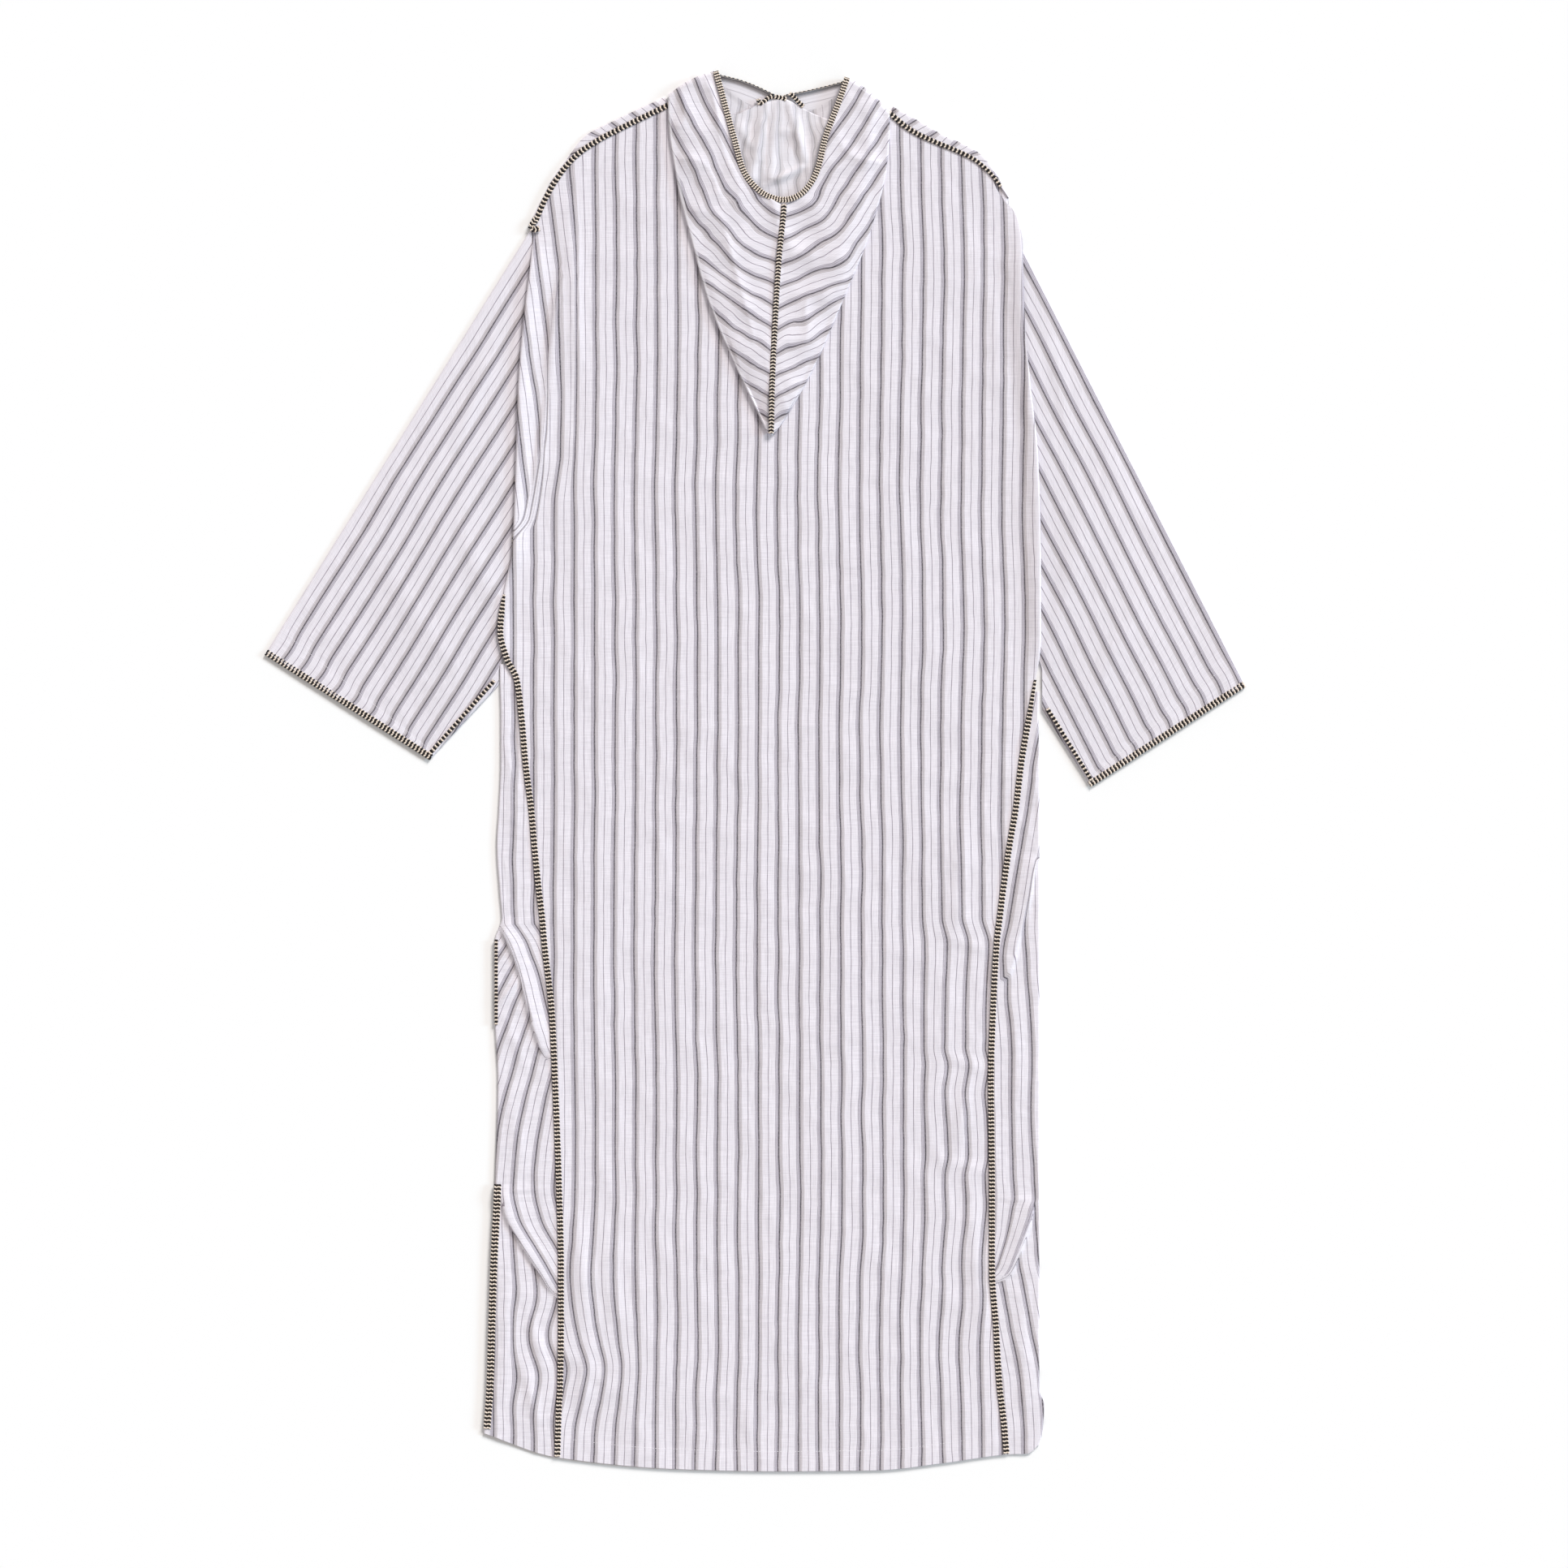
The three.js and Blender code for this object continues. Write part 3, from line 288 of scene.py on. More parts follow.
# Sets a node's inputs: a socket is linked to its input, and any other value becomes its default.
def feed(tree, node, inputs):
    for key, value in inputs.items():
        if isinstance(value, bpy.types.NodeSocket):
            tree.links.new(value, node.inputs[key])
        else:
            node.inputs[key].default_value = value


# One arithmetic step: each input is a socket or a number.
def reckon(tree, operation, *inputs):
    return addNode(tree, "ShaderNodeMath", dict(enumerate(inputs)), operation=operation).outputs[0]


# Smooth noise, 0 to 1, with the given number of features a metre.
def noiseAt(tree, vector, scale, detail=2.0, roughness=0.5):
    inputs = {"Scale": scale, "Detail": detail, "Roughness": roughness, "Vector": vector}
    return addNode(tree, "ShaderNodeTexNoise", inputs).outputs["Fac"]


# Noise drawn out along one thread: scales across and along the stripes.
def threadNoise(tree, vector, scales, detail=2.0, roughness=0.5):
    stretched = addNode(tree, "ShaderNodeMapping", {"Scale": (*scales, 1), "Vector": vector}).outputs[0]
    return noiseAt(tree, stretched, 1.0, detail, roughness)


# The first colour mixed with the second by a factor.
def mixColors(tree, factor, first, second, blend="MIX"):
    inputs = {"Factor": factor, "A": first, "B": second}
    return addNode(tree, "ShaderNodeMix", inputs, data_type="RGBA", blend_type=blend).outputs["Result"]


# A colour as a screen shows it, 0 to 255 each, in amounts of light.
def linear(red, green, blue):
    return tuple(((value / 255 + 0.055) / 1.055) ** 2.4 for value in (red, green, blue)) + (1.0,)


stripes = {
    "bands": table(  # one repeat, from left to right: width in millimetres and colour
        "width color", (0.5, (158, 151, 163)), (0.75, (204, 198, 208)), (0.5, (156, 149, 161)),
        (0.75, (201, 195, 206)), (0.65, (152, 145, 156)), (0.85, (62, 56, 64)), (0.7, (163, 155, 161)),
        (0.7, (204, 197, 202)), (0.55, (177, 168, 173)), (0.75, (208, 201, 206)), (0.5, (185, 177, 181)),
        (6.0, (233, 228, 236)), (0.7, (146, 136, 149)), (6.7, (233, 228, 236))
    ),
    "softEdge": 0.28,
    "threadWander": 0.0006,
    "wanderScales": (330, 60),
    "fleckScales": (3400, 420),
    "fleckRange": (0.48, 0.72),
    "fleckShare": 0.4,
    "fleckColor": linear(232, 229, 234),
    "warpScales": (1500, 45),
    "weftScales": (45, 1500),
    "slubShare": 0.42,
    "warpPitch": 0.00052,
    "weftPitch": 0.00056,
    "wearScale": 30,
    "roughness": (0.82, 0.95),
    "weaveBump": 0.35,
    "shader": {"Specular IOR Level": 0.25, "Sheen Weight": 0.12, "Sheen Roughness": 0.5},
}


# Striped cotton as a group: cloth coordinates in, colour, thread height and wear out.
def makeStripeGroup():
    group = bpy.data.node_groups.new("stripedWeave", "ShaderNodeTree")
    for name, way, kind in (("Cloth", "INPUT", "Vector"), ("Color", "OUTPUT", "Color"),
                            ("Threads", "OUTPUT", "Float"), ("Wear", "OUTPUT", "Float")):
        group.interface.new_socket(name, in_out=way, socket_type="NodeSocket" + kind)
    start = addNode(group, "NodeGroupInput").outputs["Cloth"]
    parts = addNode(group, "ShaderNodeSeparateXYZ", {0: start})
    across, along = parts.outputs["X"], parts.outputs["Y"]

    wander = threadNoise(group, start, stripes["wanderScales"])
    moved = reckon(group, "MULTIPLY_ADD", reckon(group, "SUBTRACT", wander, 0.5), stripes["threadWander"], across)
    repeats = reckon(group, "DIVIDE", moved, fabric["stripeRepeat"] * millimetre)
    place = reckon(group, "FRACT", reckon(group, "ADD", repeats, 100.0))
    lines = addNode(group, "ShaderNodeValToRGB", {0: place})
    total = sum(band["width"] for band in stripes["bands"])
    half, at, stops = stripes["softEdge"] / 2 / total, 0.0, []
    for band in stripes["bands"]:
        share = band["width"] / total
        stops += [(at + half, linear(*band["color"])), (at + share - half, linear(*band["color"]))]
        at += share
    elements = lines.color_ramp.elements
    while len(elements) < len(stops):
        elements.new(0.5)
    for element, (position, color) in zip(elements, stops):
        element.position = position
    for element, (position, color) in zip(elements, stops):
        element.color = color

    # flecks of white thread break the coloured lines along their length
    fleck = threadNoise(group, start, stripes["fleckScales"], 2.0, 0.7)
    low, high = stripes["fleckRange"]
    shown = addNode(group, "ShaderNodeMapRange",
                    {"Value": fleck, "From Min": low, "From Max": high, "To Max": stripes["fleckShare"]})
    heather = mixColors(group, shown.outputs[0], lines.outputs["Color"], stripes["fleckColor"])

    # thicker threads, both ways, darken or lighten a little
    threads = reckon(group, "ADD", threadNoise(group, start, stripes["warpScales"], 3.0),
                     threadNoise(group, start, stripes["weftScales"], 3.0))
    slub = reckon(group, "MULTIPLY_ADD", threads, stripes["slubShare"], 1 - stripes["slubShare"])
    grey = addNode(group, "ShaderNodeCombineColor", {0: slub, 1: slub, 2: slub}).outputs[0]

    # plain weave: warp and weft threads rise in turn
    warpWave = reckon(group, "SINE", reckon(group, "MULTIPLY", across, 2 * math.pi / stripes["warpPitch"]))
    weftWave = reckon(group, "SINE", reckon(group, "MULTIPLY", along, 2 * math.pi / stripes["weftPitch"]))
    weave = reckon(group, "MULTIPLY", warpWave, weftWave)
    addNode(group, "NodeGroupOutput", {
        "Color": mixColors(group, 1.0, heather, grey, "MULTIPLY"),
        "Threads": reckon(group, "ADD", weave, threads),
        "Wear": noiseAt(group, start, stripes["wearScale"], 3.0),
    })
    return group


# A material with its node tree and its shader, whose named inputs are set.
def newMaterial(name, inputs):
    material = bpy.data.materials.new(name)
    material.use_nodes = True
    shader = material.node_tree.nodes["Principled BSDF"]
    feed(material.node_tree, shader, inputs)
    return material, material.node_tree, shader


# The surface's direction as a height tilts it: the slope of the height times a strength.
def bumpOf(tree, height, strength):
    return addNode(tree, "ShaderNodeBump", {"Strength": strength, "Distance": 0.0001, "Height": height}).outputs[0]


# Cotton with the stripes; its inner side shows them fainter, as a share towards white.
def makeCotton(name, group, faint):
    material, tree, shader = newMaterial(name, stripes["shader"])
    cloth = addNode(tree, "ShaderNodeUVMap", uv_map="cloth").outputs[0]
    weave = addNode(tree, "ShaderNodeGroup", {"Cloth": cloth}, node_tree=group).outputs
    low, high = stripes["roughness"]
    rough = addNode(tree, "ShaderNodeMapRange", {"Value": weave["Wear"], "To Min": low, "To Max": high})
    color = mixColors(tree, faint, weave["Color"], stripes["fleckColor"]) if faint else weave["Color"]
    feed(tree, shader, {"Base Color": color, "Roughness": rough.outputs[0],
                        "Normal": bumpOf(tree, weave["Threads"], stripes["weaveBump"])})
    return material


yarn = {
    "patchScale": 420,
    "fibreScale": 4200,
    "bump": 0.4,
    "shader": {"Roughness": 0.8, "Specular IOR Level": 0.3},
}


# Thread: a plain colour that varies a little from place to place, with a fine twist.
def makeThread(name, color, variation):
    material, tree, shader = newMaterial(name, yarn["shader"])
    where = addNode(tree, "ShaderNodeTexCoord").outputs["Object"]
    dark, light = [tuple(min(1, channel * (1 + change)) for channel in linear(*color)[:3]) + (1,)
                   for change in (-variation, variation)]
    patchy = noiseAt(tree, where, yarn["patchScale"], 3.0)
    feed(tree, shader, {"Base Color": mixColors(tree, patchy, dark, light),
                        "Normal": bumpOf(tree, noiseAt(tree, where, yarn["fibreScale"]), yarn["bump"])})
    return material


stripeGroup = makeStripeGroup()
cotton = makeCotton("stripedCotton", stripeGroup, 0)
paleCotton = makeCotton("stripedCottonInside", stripeGroup, 0.5)
creamThread = makeThread("creamThread", (232, 217, 202), 0.14)
blackThread = makeThread("blackThread", (30, 26, 28), 0.35)
underThread = makeThread("underThread", (96, 84, 76), 0.2)
whiteThread = makeThread("whiteThread", (240, 238, 242), 0.05)
print("materials made")

bodyLevels = table(
    "y leftOutline leftBack rightBack rightOutline", (593, -222, -222, 240, 247), (578, -222, -222, 250, 256),
    (562, -222, -222, 263, 263), (533, -224, -224, 269, 269), (451, -234, -234, 272, 272),
    (385, -239, -239, 278, 278), (320, -241, -241, 285, 285), (221, -245, -245, 288, 288),
    (180, -253, -253, 288, 288), (140, -258, -257, 288, 289), (112, -258, -250, 286, 289),
    (94, -258, -241, 283, 288), (57, -257, -236, 277, 286), (10, -257, -232, 269, 287), (-39, -259, -226, 263, 287),
    (-74, -261, -223, 257, 287), (-123, -258, -218, 250, 287), (-148, -256, -215, 247, 287),
    (-172, -263, -213, 244, 287), (-246, -263, -205, 240, 287), (-312, -260, -202, 238, 287),
    (-418, -263, -198, 239, 287), (-500, -267, -196, 239, 287), (-560, -269, -196, 243, 287),
    (-625, -271, -197, 247, 287), (-640, -272, -198, 249, 292), (-668, -274, -199, 252, 290),
    (-707, -275, -200, 255, 276)
)
hemLine = table(
    "x y", (-275, -668), (-200, -693), (-74, -705), (24, -707), (123, -706), (188, -699), (255, -690), (275, -689),
    (284, -682), (292, -668)
)
# the shoulders: contour, where the front comes over the fold, and seam, where it meets the back
shoulders = {
    "left": table(
        "contourX contourY seamX seamY", (-91, 681, -90, 671), (-146, 655, -135, 649), (-172, 641, -158, 637),
        (-190, 618, -181, 621), (-205, 597, -198, 601), (-218, 572, -212, 577), (-226, 556, -222, 554)
    ),
    "right": table(
        "contourX contourY seamX seamY", (139, 671, 138, 662), (168, 655, 157, 647), (192, 641, 177, 637),
        (213, 632, 199, 628), (230, 621, 220, 618), (246, 598, 237, 604), (256, 578, 248, 590)
    ),
}
backNeckLine = table(
    "x y", (-90, 671), (-50, 654), (-13, 653), (16, 677), (37, 675), (60, 661), (100, 656), (138, 662)
)
frontNeckLine = table(
    "x y", (-90, 670), (-58, 652), (-20, 641), (24, 637), (68, 640), (108, 648), (138, 661)
)
armholeLevels = table(
    "y left right", (556, -226, 259), (520, -224.6, 262), (451, -227, 264), (385, -231, 270), (320, -233, 277),
    (221, -237, 280), (180, -245, 280), (140, -250, 282), (112, -252, 284)
)
goreFrontSeams = {
    "topY": 112, "bottomY": -707,
    "left": {"topX": -252, "bottomX": -262}, "right": {"topX": 284, "bottomX": 249},
}
goreTop = {"left": 108, "right": 80}

outline = {side: smoothLine(bodyLevels, "y", side + "Outline") for side in outwards}
backEdge = {side: smoothLine(bodyLevels, "y", side + "Back") for side in outwards}
armhole = {side: smoothLine(armholeLevels, "y", side) for side in outwards}
hem = smoothLine(hemLine, "x", "y")
backNeck = smoothLine(backNeckLine, "x", "y")
frontNeck = smoothLine(frontNeckLine, "x", "y")
neckX = {side: shoulders[side][0]["seamX"] for side in outwards}


# The straight line of a gore's seam on the front.
def goreFront(side, y):
    seam = goreFrontSeams[side]
    down = (y - goreFrontSeams["topY"]) / (goreFrontSeams["bottomY"] - goreFrontSeams["topY"])
    return mix(seam["topX"], seam["bottomX"], down)


# Where the back panel ends at the top: the shoulder seams and, between them, the neck.
def backTop(x):
    left, right = [smoothLine(shoulders[side], "seamX", "seamY")(x) for side in outwards]
    return np.where(x < neckX["left"], left, np.where(x > neckX["right"], right, backNeck(x)))


backPanel = {
    "columns": 116,
    "rows": 270,
    "lipSteps": 6,
    "rollRise": 4.9,
    "rollRadius": 1.6,
    "rollReach": 12,
    "rollTurn": math.radians(130),
    "startY": (-700, 600),
    "settling": 30,
    "crowding": 0.02,
    "hemHeight": 20,
    "hem": {"rise": 0.35, "groove": 0.3, "grooveWidth": 1.3},
    "uneven": {"seed": 11, "amount": 1.0, "crease": 0.8},
    "pucker": {"reach": 11, "height": 0.22, "cell": 3.4, "seed": 15, "from": 20, "full": 80},
    "cut": (0.56, 1.38),
    "area": 0.68,
    "roll": table(  # how far the edges over the armholes are rolled up
        "y left right", (562, 0, 0), (540, 0.08, 0.4), (500, 1, 1), (230, 1, 1), (190, 0.42, 1), (130, 0.42, 0.6),
        (100, 0.12, 0.12), (80, 0, 0)
    ),
    "folds": table(
        "x0 y0 x1 y1 width height steep lean", (-187, 572, -178, 410, 9, 2.2, 0.4),
        (-196, 505, -208, 385, 7, 2.4, -0.5, -3), (-208, 385, -226, 258, 6, 2, -0.5, -2),
        (-180, -452, -168, -560, 8, 2.2), (-168, -580, -176, -640, 8, 1.9), (-148, -470, -141, -570, 9, 1),
        (208, -60, 203, -165, 9, 1.8), (188, -166, 232, -182, 6, 1.3, -0.5), (190, -288, 232, -304, 6, 1.5, -0.5),
        (186, -392, 231, -406, 6, 1.4, -0.5), (213, -310, 206, -385, 8, 1.7, 0.3), (216, -410, 228, -560, 7, 1.5),
        (-190, -588, -150, -622, 9, 1.5, -0.4), (-188, -500, -160, -516, 7, 0.9), (190, -210, 186, -330, 9, 0.9),
        (-5, -640, -4, -675, 6, 1.4), (-7, -690, 4, -684, 4, 0.9), (-150, 300, 60, 288, 7, 0.32, 0.5),
        (-120, 40, 150, 52, 7, 0.3, 0.5), (-150, -250, 120, -262, 7, 0.3, 0.5), (240, 470, 252, 340, 8, 1),
        (120, 560, 140, 420, 10, 0.6), (-120, 180, -135, 20, 12, 0.5), (90, -120, 80, -300, 12, 0.4)
    ),
}


# How far one of the back's edges is rolled up, 0 to 1.
def backRoll(side, y):
    return smoothLine(backPanel["roll"], "y", side)(y)


# Height of the back's cloth: level, rising to the rolled edges, with the folds on it.
def backHeight(x, y):
    near = sum(bell(x - backEdge[side](y), backPanel["rollReach"]) * backRoll(side, y)
               for side in outwards)
    folds, pushX, pushY = softFolds(backPanel["folds"], x, y)
    return fabric["upperLevel"] + np.maximum(backPanel["rollRise"] * near, folds), pushX, pushY


backStripes = {
    "crease": table(  # the line of the upper left crease, into which the stripes outside it run
        "y x", (600, -180), (508, -196), (451, -202), (385, -208), (329, -212), (258, -227), (226, -262)
    ),
    "rightSwing": table(  # how far the stripes beside the right gore are dragged sideways
        "y by", (20, 0), (-57, -3.2), (-147, -1.9), (-174, 4.5), (-215, 2.6), (-279, 1.2), (-297, 4.8), (-327, 0.9),
        (-350, 2.6), (-388, 4.2), (-408, 0.6), (-440, 1.6), (-492, -1.6), (-530, 0.3), (-582, -2.4), (-657, -1.2),
        (-707, 0)
    ),
    "leftSwing": table(  # and those beside the left gore
        "y by", (-300, 0), (-418, 1), (-467, -1.6), (-507, -3.9), (-549, 0), (-576, 4.9), (-605, 13), (-631, 9),
        (-664, 1.6), (-697, 0)
    ),
    "innerCrease": table(  # a smaller crease beside it
        "y x", (560, -184), (530, -182), (470, -181.6), (335, -185), (285, -187)
    ),
    "wander": table("by cell seed", (0.8, 40, 32), (0.3, 13, 33)),
    "lean": 0.13,
    "leanFrom": 544,
}


# Across the stripes: the place's x, with the stripes leaning where the cloth is dragged beside a crease.
def backAcross(x, y):
    shift = backStripes["lean"] * (y - backStripes["leanFrom"])
    loose = 2 + 9 * ease(-y, -330, -250)
    outer = 1 - ease(x - readTable(backStripes["crease"], y), -loose, loose)
    inner = 1 - ease(x - readTable(backStripes["innerCrease"], y), -4, 4)
    above = ease(y, backStripes["leanFrom"] - 4, backStripes["leanFrom"] + 4)
    smallShift = np.maximum(shift, -6) * inner * ease(y, 262, 320)
    lean = mix(mix(smallShift, shift, outer), shift * (1 - ease(x, -206, -160)), above)
    wave = 2.2 * unevenness(x * 0.5, y, 120, 31) + wanderOf(backStripes["wander"], x, y)
    left = readTable(backStripes["leftSwing"], y) * (1 - ease(x, -178, -96))
    right = readTable(backStripes["rightSwing"], y) * ease(x, 150, 208)
    return x + lean + wave - left - right


# The back as rows from hem to shoulders, with its folds, its hem and both rolled edges.
def makeBack():
    size, radius = backPanel, backPanel["rollRadius"]
    share = np.linspace(0, 1, size["columns"])[None, :]
    across = share - size["crowding"] * np.sin(2 * np.pi * share)
    up = crispShares(size["rows"])[:, None]
    x, y = settle(across, up, size["startY"], size["settling"], lambda y: backEdge["left"](y) + radius,
                  lambda y: backEdge["right"](y) - radius, hem, lambda x: backTop(x) - 1)
    z, pushX, pushY = backHeight(x, y)
    inside = within(up, 0.01, 0.03) * within(across, 0.02, 0.02)
    pucker, hemShape = size["pucker"], size["hem"]
    near = sum(bell(x - edge(y), pucker["reach"]) for edge in backEdge.values())
    near = near * ease(-y, -pucker["full"], -pucker["from"])
    gather = pucker["height"] * near * unevenness(x * 0.35, y, pucker["cell"], pucker["seed"])
    z = z + inside * (crumple(x, y, **size["uneven"]) + gather)
    aboveHem = y - hem(x) - size["hemHeight"]
    z = z + hemShape["rise"] * (1 - ease(aboveHem, -1, 1.5))
    z = z - hemShape["groove"] * bell(aboveHem, hemShape["grooveWidth"])
    places = together(x + inside * pushX, y + inside * pushY, z)
    cloth = together(backAcross(x, y), y)

    # a rolled edge turns down round a centre below the row's last place
    def lip(side, column):
        end, roll = places[:, column], backRoll(side, places[:, column, 1])[:, None]
        step = np.linspace(0, 1, size["lipSteps"] + 1)[None, 1:]
        turn = step * size["rollTurn"] * np.maximum(roll, 0.04)
        run = outwards[side] * radius * (step * (1 - roll) + np.sin(turn))
        edge = together(end[:, :1] + run, end[:, 1:2], end[:, 2:] - radius * (1 - np.cos(turn)))
        return edge, cloth[:, column, None, :] + together(outwards[side] * step * radius * 2.2, 0 * run)

    left, right = lip("left", 0), lip("right", -1)
    places = np.concatenate([left[0][:, ::-1], places, right[0]], 1)
    cloth = np.concatenate([left[1][:, ::-1], cloth, right[1]], 1)
    return clothPiece("robeBack", [(places, cloth)])


frontPanel = {
    "columns": 70,
    "shoulderSteps": 24,
    "rows": 150,
    "foldSteps": 6,
    "returnSteps": 5,
    "slitX": 24,
    "slitBottom": 500,
    "slitHalf": 8,
    "stripeShift": 5,
    "startY": (-700, 500),
    "topY": 520,
    "settling": 20,
    "blendFrom": 0.55,
    "cut": (0.57, 1.4),
    "area": 0.72,
}


# A shoulder's fold line, the directions from it to the seam, and the distances.
def shoulderLine(side, share):
    line = {key: alongShape(shoulders[side], key)(share) for key in shoulders[side][0]}
    contour, seam = together(line["contourX"], line["contourY"]), together(line["seamX"], line["seamY"])
    return contour, unit(seam - contour), np.linalg.norm(seam - contour, axis=-1, keepdims=True)


# The front lies on the ground; its shoulder edges turn over a fold and end at the seams on the back.
def makeFront():
    size, radius = frontPanel, fabric["edgeRadius"]
    inFrom = radius + fabric["wall"] / 2
    lines = [shoulderLine("left", np.linspace(1, 0, size["shoulderSteps"])),
             shoulderLine("right", np.linspace(0, 1, size["shoulderSteps"]))]
    middle = np.linspace(neckX["left"], neckX["right"], size["columns"] - 2 * size["shoulderSteps"] + 2)[1:-1]
    starts = [contour + inward * inFrom for contour, inward, reach in lines]
    topLine = np.concatenate([starts[0], together(middle, frontNeck(middle) - 0.3), starts[1]])
    share = np.linspace(0, 1, len(topLine))[None, :]
    up = np.linspace(0, 1, size["rows"])[:, None]

    def leftEdge(y):
        return np.where(y > goreTop["left"], armhole["left"](y), goreFront("left", y)) + 0.3

    def rightEdge(y):
        return np.where(y > goreTop["right"] + 10, armhole["right"](y) - 0.3, goreFront("right", y) - 8)

    x, y = settle(share, up, size["startY"], size["settling"], leftEdge, rightEdge,
                  lambda x: hem(x) + 1, lambda x: size["topY"])
    blend = ease(up, size["blendFrom"], 1) ** 2
    x, y = mix(x, topLine[None, :, 0], blend), mix(y, topLine[None, :, 1], blend)
    grids = [(together(x, y, fabric["lowerLevel"]), together(x + size["stripeShift"], y))]
    turn = np.linspace(0, np.pi, size["foldSteps"])[:, None]
    for contour, inward, reach in lines:
        bend = contour + inward * (inFrom - radius * np.sin(turn))[..., None]
        back = np.linspace(0, 1, size["returnSteps"])[1:, None, None]
        end = contour + inward * mix(inFrom, np.maximum(reach - 1.2, inFrom + 0.6), back)
        flat = np.concatenate([bend, end])
        rise = fabric["lowerLevel"] + radius * (1 - np.cos(turn))
        level = np.concatenate([rise, 0 * back[..., 0] + fabric["upperLevel"]])
        tangent = unit(np.gradient(contour, axis=0))
        normal = together(-tangent[:, 1], tangent[:, 0])
        mirrored = flat - 2 * ((flat - contour) * normal).sum(-1, keepdims=True) * normal
        opened = np.concatenate([flat[:2], mirrored[2:]])
        grids.append((together(flat[..., 0], flat[..., 1], level), opened + np.array([size["stripeShift"], 0])))
    piece = clothPiece("robeFront", grids)

    def cutSlit(work):
        middles = [(face, face.calc_center_median() / millimetre) for face in work.faces]
        inside = [face for face, middle in middles if abs(middle.x - size["slitX"]) < size["slitHalf"]
                  and middle.y > size["slitBottom"] and middle.z < 1]
        bmesh.ops.delete(work, geom=inside, context="FACES")

    editMesh(piece.data, cutSlit)
    return piece


gores = {
    "fullness": 0.5,
    "rows": 430,
    "frontSteps": 6,
    "foldSteps": 6,
    "backSteps": 56,
    "startY": -690,
    "settling": 8,
    "cut": {"left": (0.09, 0.82), "right": (0.09, 0.79)},
    "area": {"left": 0.048, "right": 0.045},
    "leftEdges": [  # the lower edges of the two layers that lie over the rest of the left gore
        table(
            "y x", (-146, -282), (-156, -260.4), (-192, -241.5), (-211, -235.8), (-240, -228.4), (-267, -220.2),
            (-288, -212), (-296, -186)
        ),
        table(
            "y x", (-416, -282), (-426, -259.5), (-453, -248.9), (-481, -233.3), (-508, -216.1), (-528, -203),
            (-536, -180)
        ),
    ],
    "rightEdges": [
        table(
            "y x", (-84, 300), (-91, 284), (-132, 275), (-170, 265), (-205, 256), (-222, 230)
        ),
        table(
            "y x", (-428, 300), (-434, 283), (-453, 277.6), (-490, 264.4), (-508, 256), (-522, 230)
        ),
    ],
    "edgeHeight": {"left": 2.7, "right": 2.025},
    "edgeBlend": {"left": 1.6, "right": 2.6},
    "wander": table("by cell seed", (1.2, 60, 41), (0.7, 24, 42)),
    "swing": {"height": 5.5, "from": -545, "length": 92, "middle": -582, "reach": 68},
    "edgeReach": 13,
    "edgeDrop": 2.8,
    "middleDrag": table(  # how far the stripes between the left gore's two layers are dragged
        "y by", (-150, 88), (-160, 83), (-200, 59), (-240, 40), (-300, 20), (-370, 4.5), (-420, 0), (-450, 6),
        (-480, 22), (-508, 38), (-540, 56)
    ),
    "rightDrag": table(  # and those below the right gore's layers
        "y by", (-90, 0), (-170, 1), (-215, 4), (-290, 8), (-400, 9), (-480, 14), (-550, 25), (-621, 38),
        (-707, 44)
    ),
    "folds": table(
        "x0 y0 x1 y1 width height steep", (-237, -207, -257, -232, 4, 1.6, -0.5), (-252, -250, -232, -300, 6, 0.8),
        (-246, -330, -236, -400, 8, 0.9), (-225, -560, -214, -600, 6, 1.7), (-232, -602, -221, -655, 6, 1.5),
        (-250, -500, -252, -620, 7, 0.9), (-250, 60, -244, -60, 6, 0.8), (262, -230, 266, -330, 7, 1),
        (268, -530, 274, -640, 7, 1.1)
    ),
}


# Signed distance from the edges of the layers that lie over a gore, positive on the layer above.
def overEdge(side, number, x, y):
    edge = smoothLine(gores[side + "Edges"][number], "y", "x")
    slope = (edge(y + 2) - edge(y - 2)) / 4
    return -outwards[side] * (x - edge(y)) / np.sqrt(1 + slope ** 2)


# Height of the layers' edges: a soft swell that ends in a steep drop.
def edgeSwell(side, x, y):
    height = np.zeros(np.broadcast(x, y).shape)
    for number, rows in enumerate(gores[side + "Edges"]):
        away = overEdge(side, number, x, y)
        onto = bell(np.maximum(away, 0), gores["edgeReach"])
        off = bell(np.minimum(away, 0), gores["edgeDrop"])
        low, high = rows[-1]["y"], rows[0]["y"]
        height = np.maximum(height, onto * off * ease(y, low - 4, low + 30) * ease(-y, -high - 2, -high + 14))
    return gores["edgeHeight"][side] * height


# Across a gore's stripes: they follow each layer's edge above it and are dragged or waved below it.
def goreAcross(side, x, y):
    wander = wanderOf(gores["wander"], x, y)
    first, last = [readTable(rows, y) for rows in gores[side + "Edges"]]
    onFirst, onLast = overEdge(side, 0, x, y), overEdge(side, 1, x, y)
    blend = gores["edgeBlend"][side]
    if side == "left":
        led = x - (np.clip(first, -262, -200) + 262) * ease(-y, 120, 175)
        middle = x - readTable(gores["middleDrag"], y)
        wave = gores["swing"]
        swing = wave["height"] * np.sin((y - wave["from"]) * 2 * math.pi / wave["length"])
        swing = swing * bell(y - wave["middle"], wave["reach"]) * ease(x, -256, -226)
        across = mix(middle, led, ease(onFirst, -blend, blend))
        return wander + mix(x - swing, across, ease(onLast, -blend, blend))
    dragged = x - readTable(gores["rightDrag"], y)
    onTop = x - 0.16 * (y + 190) * ease(y, -200, -150)
    across = mix(dragged, onTop, ease(onFirst, -blend, blend))
    led = x - 11 + np.clip(283 - last, 0, 30) * (1 - ease(onLast, 6, 34))
    return wander + mix(dragged, mix(across, led, ease(-y, 410, 440)), ease(onLast, -1.8, 1.8))


